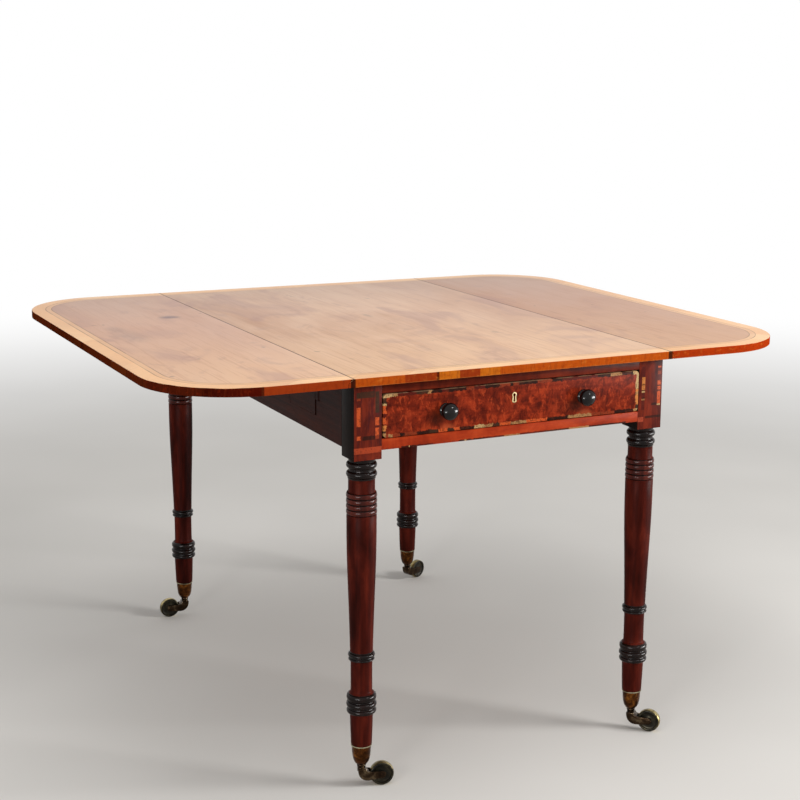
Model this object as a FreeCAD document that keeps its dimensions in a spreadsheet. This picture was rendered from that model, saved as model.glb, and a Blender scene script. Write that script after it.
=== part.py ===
import FreeCAD, Part
import math
import operator
import os
import Sketcher
from FreeCAD import Placement, Rotation, Vector

# A drop-leaf breakfast table of about 1810: a fixed centre top between two leaves on
# rule joints, a frieze with a drawer at the front end and a matching dummy at the back,
# fly brackets on wooden knuckle hinges, ring-turned legs, and brass cup casters.
# Millimetres. Z is up, the floor is Z = 0, the drawer end faces -Y, and the origin is
# on the floor under the middle of the top.

SIZES = {
    # whole table
    "table_height": 720.0,
    # top and leaves
    "top_thickness": 14.5,
    "top_length": 1030.0,
    "centre_width": 612.0,
    "leaf_width": 305.0,
    "leaf_corner_radius": 160.0,
    "top_arris": 0.8,
    # how far the centre top stands out over the frame
    "side_overhang": 5.5,
    "end_overhang": 13.0,
    # rule joint: a step, then a quarter round about the hinge pin
    "rule_step": 2.5,
    "rule_radius": 9.0,
    "rule_gap": 0.3,
    # leaf hinges, two to a leaf, let in flush with the underside
    "hinge_spacing": 560.0,
    "hinge_length": 64.0,
    "hinge_top_reach": 30.0,
    "hinge_leaf_reach": 42.0,
    "flap_thickness": 1.6,
    "hinge_pin_radius": 1.4,
    "hinge_pin_fit": 0.05,
    "hinge_gap": 0.2,
    # frieze
    "block_side": 50.0,
    "block_length": 126.0,
    "frieze_depth": 111.0,
    "front_rail_width": 60.0,
    "top_rail_depth": 16.5,
    "bottom_rail_depth": 18.5,
    "back_rail_thickness": 22.0,
    "side_rail_thickness": 18.0,
    "tenon_length": 22.0,
    "tenon_thickness": 8.0,
    "tenon_shoulder": 3.0,
    "tenon_inset": 11.0,
    "mortise_gap": 0.5,
    # fly rail and its brackets
    "fly_rail_thickness": 18.0,
    "fly_strip_depth": 30.5,
    "knuckle_spacing": 700.0,
    "bracket_foot_reach": 121.0,
    "bracket_top_reach": 160.0,
    "bracket_kerf": 1.2,
    "bracket_back_gap": 0.4,
    "bracket_top_gap": 0.3,
    "knuckle_gap": 0.3,
    "bracket_pin_radius": 2.5,
    "bracket_pin_fit": 0.05,
    # drawer
    "drawer_gap": 1.5,
    "drawer_proud": 1.5,
    "drawer_corner_radius": 7.0,
    "drawer_front_thickness": 22.0,
    "drawer_length": 640.0,
    "drawer_side_thickness": 9.0,
    "drawer_back_thickness": 8.0,
    "drawer_bottom_thickness": 6.0,
    "drawer_run_gap": 0.3,
    "drawer_side_relief": 1.5,
    "drawer_back_relief": 4.0,
    "dovetail_lap": 6.0,
    "bottom_rise": 8.0,
    "bottom_groove_depth": 4.0,
    "groove_gap": 0.1,
    # runners, kickers, stops and glue blocks
    "runner_width": 17.5,
    "runner_depth": 16.0,
    "guide_rise": 20.0,
    "guide_gap": 0.5,
    "kicker_width": 30.0,
    "stop_spacing": 240.0,
    "stop_length": 30.0,
    "stop_width": 12.0,
    "stop_height": 4.5,
    "stop_gap": 0.3,
    "glue_block_length": 45.0,
    "glue_block_leg": 14.0,
    "glue_block_spacing": 300.0,
    # knobs
    "knob_spacing": 268.0,
    "knob_drop": 54.0,
    "knob_radius": 14.0,
    "knob_projection": 25.5,
    "knob_neck_radius": 5.5,
    "knob_neck_length": 7.5,
    "knob_bevel": 1.7,
    # lock
    "lock_width": 44.0,
    "lock_height": 34.0,
    "lock_depth": 10.0,
    "lock_wall": 2.0,
    "bolt_width": 16.0,
    "bolt_thickness": 5.0,
    "bolt_length": 16.0,
    "bolt_travel": 5.0,
    "bolt_gap": 0.2,
    # turned legs: the upper mouldings hang from the block, the lower ones stand up from
    # the floor, and the long taper takes what is between them
    "bead_radius": 24.9,
    "bead_bevel": 3.5,
    "quirk_radius": 22.2,
    "quirk_drop": 19.5,
    "neck_radius": 21.6,
    "neck_drop": 35.5,
    "neck_length": 22.5,
    "taper_top_radius": 24.9,
    "taper_foot_radius": 18.7,
    "taper_foot": 242.5,
    "taper_swell": 0.3,
    "astragal_radius": 22.6,
    "astragal_bevel": 2.0,
    "plain_radius": 18.3,
    "plain_top": 227.0,
    "collar_radius": 25.6,
    "collar_top": 170.0,
    "collar_foot": 129.5,
    "ankle_radius": 18.2,
    # brass cups under the ankles
    "cup_height": 74.0,
    "cup_radius": 16.6,
    "cup_foot_radius": 11.0,
    "cup_foot": 40.0,
    # swivelling horns with their axles, and wheels
    "caster_trail": 35.0,
    "wheel_radius": 21.0,
    "wheel_width": 13.0,
    "wheel_side_gap": 0.3,
    "wheel_round_gap": 1.2,
    "axle_radius": 2.2,
    "axle_fit": 0.05,
    "horn_cheek": 2.8,
    "horn_end_radius": 6.5,
    "horn_neck": 14.0,
    "horn_top": 24.0,
    "horn_foot": 10.5,
    "horn_heel": 6.0,
    "horn_gap": 0.05,
    # how the casters stand, in degrees about Z from +X
    "swivel_front_left": -17.0,
    "swivel_front_right": -48.0,
    "swivel_back_left": 177.0,
    "swivel_back_right": 23.0,
    # how far a cut runs past the face that it opens
    "overrun": 5.0,
}

TAIL_COUNT = 3
BACK_TAIL_COUNT = 2
GLUE_BLOCKS_A_SIDE = 3
KNUCKLE_COUNT = 3
tail_wide_share = 0.62
tail_narrow_share = 0.44
end_flat_share = 0.45
octagon_share = math.tan(math.radians(22.5))

SIGNS = {"+": operator.add, "-": operator.sub, "*": operator.mul, "/": operator.truediv}
UP = Vector(0, 0, 1)


class Size:
    """A length that carries its number and the words that bind it to the sheet."""

    def __init__(self, number, words):
        self.number = number
        self.words = words

    def __add__(self, other):
        return combined(self, "+", other)

    def __radd__(self, other):
        return combined(other, "+", self)

    def __sub__(self, other):
        return combined(self, "-", other)

    def __rsub__(self, other):
        return combined(other, "-", self)

    def __mul__(self, other):
        return combined(self, "*", other)

    def __rmul__(self, other):
        return combined(other, "*", self)

    def __truediv__(self, other):
        return combined(self, "/", other)

    def __neg__(self):
        return combined(-1, "*", self)


def as_size(value):
    return value if isinstance(value, Size) else Size(float(value), f"({value})")


def combined(left, sign, right):
    left, right = as_size(left), as_size(right)
    return Size(SIGNS[sign](left.number, right.number), f"({left.words} {sign} {right.words})")


def root(value):
    return Size(math.sqrt(value.number), f"sqrt({value.words})")


class Sheet:
    """Gives each driving dimension as a Size, by its alias."""

    def __getattr__(self, name):
        return Size(SIZES[name], f"sizes.{name}")


doc = FreeCAD.newDocument("breakfast_table")
sheet = doc.addObject("Spreadsheet::Sheet", "sizes")
for row, (alias, value) in enumerate(SIZES.items(), start=1):
    sheet.set(f"A{row}", alias)
    sheet.set(f"B{row}", str(value))
    sheet.setAlias(f"B{row}", alias)
doc.recompute()
s = Sheet()

# Places that several pieces share, worked out from the driving dimensions.
underside = s.table_height - s.top_thickness
joint_x = s.centre_width / 2
end_y = s.top_length / 2
pin_height = s.table_height - s.rule_step - s.rule_radius
knuckle_radius = pin_height - underside
half_block = s.block_side / 2
frame_x = joint_x - s.side_overhang
frame_y = end_y - s.end_overhang
leg_x = frame_x - half_block
leg_y = frame_y - half_block
clear_x = leg_x - half_block
clear_y = leg_y - half_block
block_foot = underside - s.block_length
quirk_height = block_foot - s.quirk_drop
neck_top = block_foot - s.neck_drop
neck_foot = neck_top - s.neck_length
rail_foot = underside - s.frieze_depth
rail_top_face = rail_foot + s.bottom_rail_depth
opening_top = underside - s.top_rail_depth
side_rail_outer = frame_x - s.fly_rail_thickness
side_rail_inner = side_rail_outer - s.side_rail_thickness
knuckle_x = frame_x - s.fly_rail_thickness / 2
knuckle_y = s.knuckle_spacing / 2
window_foot = rail_foot + s.fly_strip_depth
drawer_x = clear_x - s.drawer_gap
drawer_face = frame_y + s.drawer_proud
drawer_foot = rail_top_face + s.drawer_gap
drawer_head = opening_top - s.drawer_gap
drawer_inner_face = drawer_face - s.drawer_front_thickness
kicker_inner = side_rail_inner - s.kicker_width
knob_x = s.knob_spacing / 2
knob_height = underside - s.knob_drop
bolt_front = -drawer_inner_face - s.lock_depth + s.lock_wall
bolt_head = drawer_head - s.lock_wall / 2
side_foot = rail_top_face + s.drawer_run_gap
side_head = drawer_head - s.drawer_side_relief
back_foot = side_foot + s.bottom_rise + s.drawer_bottom_thickness + s.groove_gap * 2
back_head = side_head - s.drawer_back_relief
drawer_tail = s.drawer_length - drawer_face
full_barrel = s.fly_rail_thickness / 2
slim_barrel = full_barrel - s.bracket_back_gap
knuckle_pitch = (underside - window_foot) / KNUCKLE_COUNT

nodes = {}


def bind(thing, place, value):
    thing.setExpression(place, as_size(value).words)


def new_body(label, kept=True):
    body = doc.addObject("PartDesign::Body", label)
    body.Label = label
    if kept:
        nodes[label] = body
    return body


def move(thing, x=0, y=0, z=0, turn=0):
    """Place a piece, turned about Z by whole degrees or by a size of the sheet."""
    angle = as_size(turn)
    thing.Placement = Placement(Vector(0, 0, 0), Rotation(UP, angle.number or 360))
    for axis, value in (("x", x), ("y", y), ("z", z)):
        bind(thing, f"Placement.Base.{axis}", value)
    if isinstance(turn, Size):
        bind(thing, "Placement.Rotation.Angle", turn)


def new_sketch(body, role, lift=0):
    """A sketch on one of the body's own planes, lifted off it."""
    sketch = body.newObject("Sketcher::SketchObject", f"{body.Name}_sketch")
    plane = next(item for item in body.Origin.OriginFeatures if item.Role == role)
    sketch.AttachmentSupport = [(plane, "")]
    sketch.MapMode = "FlatFace"
    if isinstance(lift, Size):
        bind(sketch, "AttachmentOffset.Base.z", lift)
    return sketch


def stretch(start, end, radius):
    """A straight stretch, or the short arc that leaves its centre on the left when radius > 0."""
    if radius is None:
        return Part.LineSegment(start, end)
    chord = end - start
    size = abs(radius.number)
    height = math.sqrt(max(size * size - (chord.Length / 2) ** 2, 0.0))
    normal = Vector(-chord.y, chord.x, 0).normalize()
    centre = (start + end) * 0.5 + normal * math.copysign(height, radius.number)
    circle = Part.Circle(centre, UP, size)
    ends = [math.atan2(point.y - centre.y, point.x - centre.x) for point in (start, end)]
    return Part.ArcOfCircle(circle, *(ends if radius.number > 0 else ends[::-1]))


def pin_down(rules, names, kind, geometry, position, value):
    """Fix one coordinate of a point: on the axis where it is plain zero, else to a size."""
    if isinstance(value, Size):
        names[len(rules)] = value
        rules.append(Sketcher.Constraint(kind, -1, 1, geometry, position, value.number))
    else:
        axis = -2 if kind == "DistanceX" else -1
        rules.append(Sketcher.Constraint("PointOnObject", geometry, position, axis))


def apply_rules(sketch, rules, names):
    first = sketch.ConstraintCount
    sketch.addConstraint(rules)
    for index, value in names.items():
        sketch.renameConstraint(first + index, f"size_{first + index}")
        bind(sketch, f"Constraints.size_{first + index}", value)


def outline(sketch, corners, flip_x=1, flip_y=1):
    """A closed line through (x, y) corners; a third value is the radius of the arc that
    leaves that corner, positive when it turns anticlockwise."""
    turned = flip_x * flip_y
    placed = []
    for corner in corners:
        x, y = corner[0], corner[1]
        x = x * flip_x if isinstance(x, Size) else x
        y = y * flip_y if isinstance(y, Size) else y
        placed.append((x, y, corner[2] * turned if len(corner) > 2 else None))
    points = [Vector(as_size(x).number, as_size(y).number, 0) for x, y, radius in placed]
    first = sketch.GeometryCount
    count = len(placed)
    sketch.addGeometry(
        [stretch(points[i], points[(i + 1) % count], placed[i][2]) for i in range(count)], False
    )
    rules, names = [], {}
    backwards = [radius is not None and radius.number < 0 for x, y, radius in placed]
    for i, (x, y, radius) in enumerate(placed):
        head = 2 if backwards[i] else 1
        tail = 1 if backwards[i - 1] else 2
        before = first + (i - 1) % count
        rules.append(Sketcher.Constraint("Coincident", before, tail, first + i, head))
        pin_down(rules, names, "DistanceX", first + i, head, x)
        pin_down(rules, names, "DistanceY", first + i, head, y)
        if radius is not None:
            size = -radius if backwards[i] else radius
            names[len(rules)] = size
            rules.append(Sketcher.Constraint("Radius", first + i, size.number))
    apply_rules(sketch, rules, names)


def rectangle(sketch, low_x, low_y, high_x, high_y, flip_x=1, flip_y=1):
    corners = [(low_x, low_y), (high_x, low_y), (high_x, high_y), (low_x, high_y)]
    outline(sketch, corners, flip_x, flip_y)


def disc(sketch, x, y, radius):
    """A full circle."""
    index = sketch.GeometryCount
    centre = Vector(as_size(x).number, as_size(y).number, 0)
    sketch.addGeometry(Part.Circle(centre, UP, radius.number), False)
    rules, names = [], {}
    pin_down(rules, names, "DistanceX", index, 3, x)
    pin_down(rules, names, "DistanceY", index, 3, y)
    names[len(rules)] = radius
    rules.append(Sketcher.Constraint("Radius", index, radius.number))
    apply_rules(sketch, rules, names)


def extrude(body, kind, sketch, length, both_ways=False, backwards=False):
    feature = body.newObject(f"PartDesign::{kind}", f"{body.Name}_{kind.lower()}")
    feature.Profile = sketch
    feature.Type = "Length"
    feature.SideType = "Symmetric" if both_ways else "One side"
    feature.Reversed = backwards
    bind(feature, "Length", length)
    return feature


def pad(body, sketch, length, both_ways=False, backwards=False):
    return extrude(body, "Pad", sketch, length, both_ways, backwards)


def pocket(body, sketch, length, both_ways=False, backwards=False):
    return extrude(body, "Pocket", sketch, length, both_ways, backwards)


def turn_about(body, sketch, kind="Revolution"):
    """A full turn about the sketch's own upright axis."""
    feature = body.newObject(f"PartDesign::{kind}", f"{body.Name}_{kind.lower()}")
    feature.Profile = sketch
    feature.ReferenceAxis = (sketch, ["V_Axis"])
    feature.Angle = 360
    return feature


def box(body, low, high):
    """A rectangular pad between two corners of the body's frame."""
    sketch = new_sketch(body, "XY_Plane", lift=low[2])
    rectangle(sketch, low[0], low[1], high[0], high[1])
    return pad(body, sketch, high[2] - low[2])


def hollow(body, low, high):
    """A rectangular cut between two corners of the body's frame."""
    sketch = new_sketch(body, "XY_Plane", lift=low[2])
    rectangle(sketch, low[0], low[1], high[0], high[1])
    return pocket(body, sketch, high[2] - low[2], backwards=True)


def chamfer_edges(body, size, wanted):
    """Break the edges whose middle point the test accepts."""
    doc.recompute()
    base = body.Tip
    names = []
    for index, edge in enumerate(base.Shape.Edges, start=1):
        middle = edge.valueAt((edge.FirstParameter + edge.LastParameter) / 2)
        if wanted(edge, middle):
            names.append(f"Edge{index}")
    feature = body.newObject("PartDesign::Chamfer", f"{body.Name}_chamfer")
    feature.Base = (base, names)
    bind(feature, "Size", size)
    return feature


def near(value, size):
    return abs(value - size.number) < 1e-4


def gather(label, unit, places):
    """One node of several like solids: links to a unit body, each at its own place."""
    links = []
    for index, place in enumerate(places):
        link = doc.addObject("App::Link", f"{label}_{index + 1}")
        link.LinkedObject = unit
        move(link, *place)
        links.append(link)
    group = doc.addObject("Part::Compound", label)
    group.Label = label
    group.Links = links
    nodes[label] = group
    return group


def make_centre_top():
    """The fixed board: an ovolo along both joint edges, and recesses for the hinges."""
    body = new_body("centre_top")
    under_x = joint_x + root(s.rule_radius * s.rule_radius - knuckle_radius * knuckle_radius)
    step_foot = s.table_height - s.rule_step
    section = new_sketch(body, "XZ_Plane")
    outline(section, [
        (-under_x, underside),
        (under_x, underside, s.rule_radius),
        (joint_x, step_foot),
        (joint_x, s.table_height),
        (-joint_x, s.table_height),
        (-joint_x, step_foot, s.rule_radius),
    ])
    pad(body, section, s.top_length, both_ways=True)
    gap = s.hinge_gap
    plate_head = underside + s.flap_thickness + gap
    room = knuckle_radius * root(as_size(1 + octagon_share ** 2)) + gap
    for end in (1, -1):
        recess = new_sketch(body, "XZ_Plane", lift=s.hinge_spacing * end / 2)
        for side in (1, -1):
            outline(recess, [
                (joint_x - s.hinge_top_reach - gap, underside - s.overrun),
                (joint_x + s.rule_radius + s.overrun, underside - s.overrun),
                (joint_x + s.rule_radius + s.overrun, plate_head),
                (joint_x + room, plate_head),
                (joint_x + room, pin_height + room),
                (joint_x - room - gap, pin_height + room),
                (joint_x - room - gap, plate_head),
                (joint_x - s.hinge_top_reach - gap, plate_head),
            ], flip_x=side)
        pocket(body, recess, s.hinge_length + gap * 2, both_ways=True)
    chamfer_edges(body, s.top_arris, lambda edge, middle: (
        near(abs(middle.y), end_y) and near(middle.z, s.table_height)
    ))


def make_leaf(label, turn):
    """A drop leaf: round outer corners, a cove along the joint, recesses for its flaps."""
    body = new_body(label)
    inner = joint_x + s.rule_gap
    outer = joint_x + s.leaf_width
    shoulder_x = outer - s.leaf_corner_radius
    shoulder_y = end_y - s.leaf_corner_radius
    plan = new_sketch(body, "XY_Plane", lift=underside)
    outline(plan, [
        (inner, -end_y),
        (shoulder_x, -end_y, s.leaf_corner_radius),
        (outer, -shoulder_y),
        (outer, shoulder_y, s.leaf_corner_radius),
        (shoulder_x, end_y),
        (inner, end_y),
    ])
    pad(body, plan, s.top_thickness)
    cove_radius = s.rule_radius + s.rule_gap
    cove = new_sketch(body, "XZ_Plane")
    outline(cove, [
        (joint_x - s.overrun, underside - s.overrun),
        (joint_x + cove_radius, underside - s.overrun),
        (joint_x + cove_radius, pin_height, cove_radius),
        (joint_x, pin_height + cove_radius),
        (joint_x - s.overrun, pin_height + cove_radius),
    ])
    pocket(body, cove, s.top_length + s.overrun * 2, both_ways=True)
    for end in (1, -1):
        recess = new_sketch(body, "XZ_Plane", lift=s.hinge_spacing * end / 2)
        rectangle(
            recess,
            joint_x,
            underside - s.overrun,
            joint_x + s.hinge_leaf_reach + s.hinge_gap,
            underside + s.flap_thickness + s.hinge_gap,
        )
        pocket(body, recess, s.hinge_length + s.hinge_gap * 2, both_ways=True)

    def on_rim(edge, middle):
        outside = near(abs(middle.y), end_y) or near(middle.x, outer)
        rounded = hasattr(edge.Curve, "Radius") and near(edge.Curve.Radius, s.leaf_corner_radius)
        return near(middle.z, s.table_height) and (outside or rounded)

    chamfer_edges(body, s.top_arris, on_rim)
    move(body, turn=turn)


def make_hinges():
    """Each hinge has a top flap with two lugs and the pin riveted across them, and a leaf
    flap with one knuckle on that pin. The units lie about the pin, which runs along Y,
    with the leaf towards +X."""
    pitch = s.hinge_length / KNUCKLE_COUNT
    gap = s.hinge_gap
    plate_head = s.flap_thickness - knuckle_radius
    lug_back = knuckle_radius + gap
    leaf_start = root(knuckle_radius * knuckle_radius * 2) + gap
    flat = knuckle_radius * octagon_share

    top_unit = new_body("top_flap_unit", kept=False)
    plate = new_sketch(top_unit, "XZ_Plane")
    rectangle(plate, -s.hinge_top_reach, -knuckle_radius, -lug_back, plate_head)
    pad(top_unit, plate, s.hinge_length, both_ways=True)
    for end in (1, -1):
        lug = new_sketch(top_unit, "XZ_Plane", lift=pitch * end)
        rectangle(lug, -lug_back, -knuckle_radius, knuckle_radius, knuckle_radius)
        pad(top_unit, lug, pitch - gap, both_ways=True)
    pin = new_sketch(top_unit, "XZ_Plane")
    disc(pin, 0, 0, s.hinge_pin_radius)
    pad(top_unit, pin, pitch * 2, both_ways=True)

    leaf_unit = new_body("leaf_flap_unit", kept=False)
    plate = new_sketch(leaf_unit, "XZ_Plane")
    rectangle(plate, leaf_start, -knuckle_radius, s.hinge_leaf_reach, plate_head)
    pad(leaf_unit, plate, s.hinge_length, both_ways=True)
    knuckle = new_sketch(leaf_unit, "XZ_Plane")
    outline(knuckle, [
        (-flat, -knuckle_radius),
        (leaf_start, -knuckle_radius),
        (leaf_start, plate_head),
        (knuckle_radius, plate_head),
        (knuckle_radius, flat),
        (flat, knuckle_radius),
        (-flat, knuckle_radius),
        (-knuckle_radius, flat),
        (-knuckle_radius, -flat),
    ])
    disc(knuckle, 0, 0, s.hinge_pin_radius + s.hinge_pin_fit)
    pad(leaf_unit, knuckle, pitch - gap, both_ways=True)

    right = [(joint_x, s.hinge_spacing * end / 2, pin_height, 0) for end in (-1, 1)]
    left = [(-joint_x, s.hinge_spacing * end / 2, pin_height, 180) for end in (-1, 1)]
    gather("hinge_top_flaps", top_unit, left + right)
    gather("left_leaf_flaps", leaf_unit, left)
    gather("right_leaf_flaps", leaf_unit, right)


def leg_profile():
    """The turning's corners down from the block: two beads, a neck, the long taper, an
    astragal, a short plain stretch, the collar and the ankle."""
    return [
        (s.bead_radius, block_foot),
        (s.bead_radius, quirk_height + s.bead_bevel),
        (s.quirk_radius, quirk_height),
        (s.bead_radius, quirk_height - s.bead_bevel),
        (s.bead_radius, neck_top + s.bead_bevel),
        (s.neck_radius, neck_top),
        (s.neck_radius, neck_foot),
        (s.taper_top_radius, neck_foot, -bow(neck_foot - s.taper_foot, s.taper_swell)),
        (s.taper_foot_radius, s.taper_foot),
        (s.astragal_radius, s.taper_foot - s.astragal_bevel),
        (s.astragal_radius, s.plain_top + s.astragal_bevel),
        (s.plain_radius, s.plain_top),
        (s.plain_radius, s.collar_top),
        (s.collar_radius, s.collar_top),
        (s.collar_radius, s.collar_foot),
        (s.ankle_radius, s.collar_foot),
        (s.ankle_radius, s.cup_height),
        (0, s.cup_height),
        (0, block_foot),
    ]


def bow(length, swell):
    """The radius of the slight swell that a turner gives to a taper of this length."""
    return (length * length / 4 + swell * swell) / (swell * 2)


def mortise_side(body, side, end):
    """The side rail's mortise, in the face that looks along the table."""
    middle = half_block - s.fly_rail_thickness - s.side_rail_thickness / 2
    depth = s.tenon_length + s.mortise_gap
    sketch = new_sketch(body, "XY_Plane", lift=rail_foot + s.tenon_shoulder)
    rectangle(
        sketch,
        middle - s.tenon_thickness / 2,
        depth - half_block,
        middle + s.tenon_thickness / 2,
        -half_block - s.overrun,
        flip_x=side,
        flip_y=end,
    )
    pocket(body, sketch, s.frieze_depth - s.tenon_shoulder * 2, backwards=True)


def mortise_end(body, side, end, foot, depth_of_rail):
    """A front or back rail's mortise, in the face that looks across the table."""
    middle = half_block - s.tenon_inset
    depth = s.tenon_length + s.mortise_gap
    sketch = new_sketch(body, "XY_Plane", lift=foot + s.tenon_shoulder)
    rectangle(
        sketch,
        depth - half_block,
        middle - s.tenon_thickness / 2,
        -half_block - s.overrun,
        middle + s.tenon_thickness / 2,
        flip_x=side,
        flip_y=end,
    )
    pocket(body, sketch, depth_of_rail - s.tenon_shoulder * 2, backwards=True)


def make_leg(label, side, end):
    """A square block with mortises over one long ring turning."""
    body = new_body(label)
    square = new_sketch(body, "XY_Plane", lift=block_foot)
    rectangle(square, -half_block, -half_block, half_block, half_block)
    pad(body, square, s.block_length)
    turning = new_sketch(body, "XZ_Plane")
    outline(turning, leg_profile())
    turn_about(body, turning)
    mortise_side(body, side, end)
    if end < 0:
        mortise_end(body, side, end, opening_top, s.top_rail_depth)
        mortise_end(body, side, end, rail_foot, s.bottom_rail_depth)
    else:
        mortise_end(body, side, end, rail_foot, s.frieze_depth)
    move(body, leg_x * side, leg_y * end)


def make_rail(label, length, near_face, far_face, tenon_middle, foot, depth, place):
    """A rail along the body's X with a tenon at each end. Faces are distances along Y."""
    body = new_body(label)
    section = new_sketch(body, "YZ_Plane")
    rectangle(section, near_face, foot, far_face, foot + depth)
    pad(body, section, length, both_ways=True)
    tenon = new_sketch(body, "YZ_Plane")
    rectangle(
        tenon,
        tenon_middle - s.tenon_thickness / 2,
        foot + s.tenon_shoulder,
        tenon_middle + s.tenon_thickness / 2,
        foot + depth - s.tenon_shoulder,
    )
    pad(body, tenon, length + s.tenon_length * 2, both_ways=True)
    move(body, *place)
    return body


def make_front_rails():
    """The rails over and under the drawer; the upper one takes the lock's bolt."""
    face = -frame_y
    back = s.front_rail_width - frame_y
    middle = s.tenon_inset - frame_y
    width = clear_x * 2
    here = (0, 0, 0)
    top = make_rail("front_top_rail", width, face, back, middle, opening_top, s.top_rail_depth, here)
    gap = s.bolt_gap
    hollow(
        top,
        (-s.bolt_width / 2 - gap, bolt_front - gap, opening_top - s.overrun),
        (s.bolt_width / 2 + gap, bolt_front + s.bolt_thickness + gap, bolt_head + s.bolt_travel + gap),
    )
    make_rail(
        "front_bottom_rail", width, face, back, middle, rail_foot, s.bottom_rail_depth, here
    )


def make_side_rails():
    middle = side_rail_inner + s.side_rail_thickness / 2
    for label, turn in (("right_side_rail", -90), ("left_side_rail", 90)):
        make_rail(
            label,
            clear_y * 2,
            side_rail_inner,
            side_rail_outer,
            middle,
            rail_foot,
            s.frieze_depth,
            (0, 0, 0, turn),
        )


def rounded_board(sketch, half_width, foot, head, radius):
    outline(sketch, [
        (radius - half_width, foot),
        (half_width - radius, foot, radius),
        (half_width, foot + radius),
        (half_width, head - radius, radius),
        (half_width - radius, head),
        (radius - half_width, head, radius),
        (-half_width, head - radius),
        (-half_width, foot + radius, radius),
    ])


def make_back():
    """The back rail, with a dummy drawer front planted on its face."""
    make_rail(
        "back_rail",
        clear_x * 2,
        frame_y - s.back_rail_thickness,
        frame_y,
        frame_y - s.tenon_inset,
        rail_foot,
        s.frieze_depth,
        (0, 0, 0),
    )
    board = new_body("dummy_drawer_front")
    face = new_sketch(board, "XZ_Plane", lift=-frame_y)
    rounded_board(face, drawer_x, drawer_foot, drawer_head, s.drawer_corner_radius)
    pad(board, face, s.drawer_proud, backwards=True)


def lug_outline(reach):
    """A fixed knuckle's plan about the pin: half an octagon, joined to a board along +Y."""
    flat = full_barrel * octagon_share
    return [
        (-full_barrel, reach),
        (-full_barrel, -flat),
        (-flat, -full_barrel),
        (flat, -full_barrel),
        (full_barrel, -flat),
        (full_barrel, reach),
    ]


def shifted(corners, x, y):
    return [(corner[0] + x, corner[1] + y, *corner[2:]) for corner in corners]


knuckle_reach = root(full_barrel * full_barrel * (1 + octagon_share ** 2)) + s.knuckle_gap


def make_fly_rail(label, turn):
    """The board outside the side rail, sawn out for two brackets. Each bracket's iron
    pin is held in two fixed knuckles."""
    body = new_body(label)
    board = new_sketch(body, "YZ_Plane", lift=side_rail_outer)
    lip = knuckle_y + knuckle_reach
    foot_y = knuckle_y - s.bracket_foot_reach - s.bracket_kerf
    top_y = knuckle_y - s.bracket_top_reach - s.bracket_kerf
    outline(board, [
        (-clear_y, rail_foot),
        (clear_y, rail_foot),
        (clear_y, underside),
        (lip, underside),
        (lip, window_foot),
        (foot_y, window_foot),
        (top_y, underside),
        (-top_y, underside),
        (-foot_y, window_foot),
        (-lip, window_foot),
        (-lip, underside),
        (-clear_y, underside),
    ])
    pad(body, board, s.fly_rail_thickness)
    for end in (1, -1):
        for index in (0, KNUCKLE_COUNT - 1):
            lug = new_sketch(body, "XY_Plane", lift=window_foot + knuckle_pitch * index)
            outline(lug, shifted(lug_outline(knuckle_reach), knuckle_x, knuckle_y), flip_y=end)
            pad(body, lug, knuckle_pitch)
        pin = new_sketch(body, "XY_Plane", lift=window_foot)
        disc(pin, knuckle_x, knuckle_y * end, s.bracket_pin_radius)
        pad(body, pin, underside - window_foot)
    move(body, turn=turn)


def make_fly_bracket(label, side, end):
    """A bracket that swings out under the leaf. Its own frame is about the pin."""
    body = new_body(label)
    foot = window_foot + s.knuckle_gap
    head = underside - s.bracket_top_gap
    arm = new_sketch(body, "YZ_Plane", lift=full_barrel * side)
    outline(arm, [
        (knuckle_reach, foot),
        (s.bracket_foot_reach, foot),
        (s.bracket_top_reach, head),
        (knuckle_reach, head),
    ], flip_x=-end)
    pad(body, arm, full_barrel + slim_barrel, backwards=side > 0)
    knuckle = new_sketch(body, "XY_Plane", lift=window_foot + knuckle_pitch + s.knuckle_gap)
    outline(knuckle, [
        (slim_barrel, 0, slim_barrel),
        (0, slim_barrel, slim_barrel),
        (-slim_barrel, 0),
        (-slim_barrel, -knuckle_reach),
        (slim_barrel, -knuckle_reach),
    ], flip_x=side, flip_y=end)
    disc(knuckle, 0, 0, s.bracket_pin_radius + s.bracket_pin_fit)
    pad(body, knuckle, knuckle_pitch - s.knuckle_gap * 2)
    move(body, knuckle_x * side, knuckle_y * end)


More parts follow.
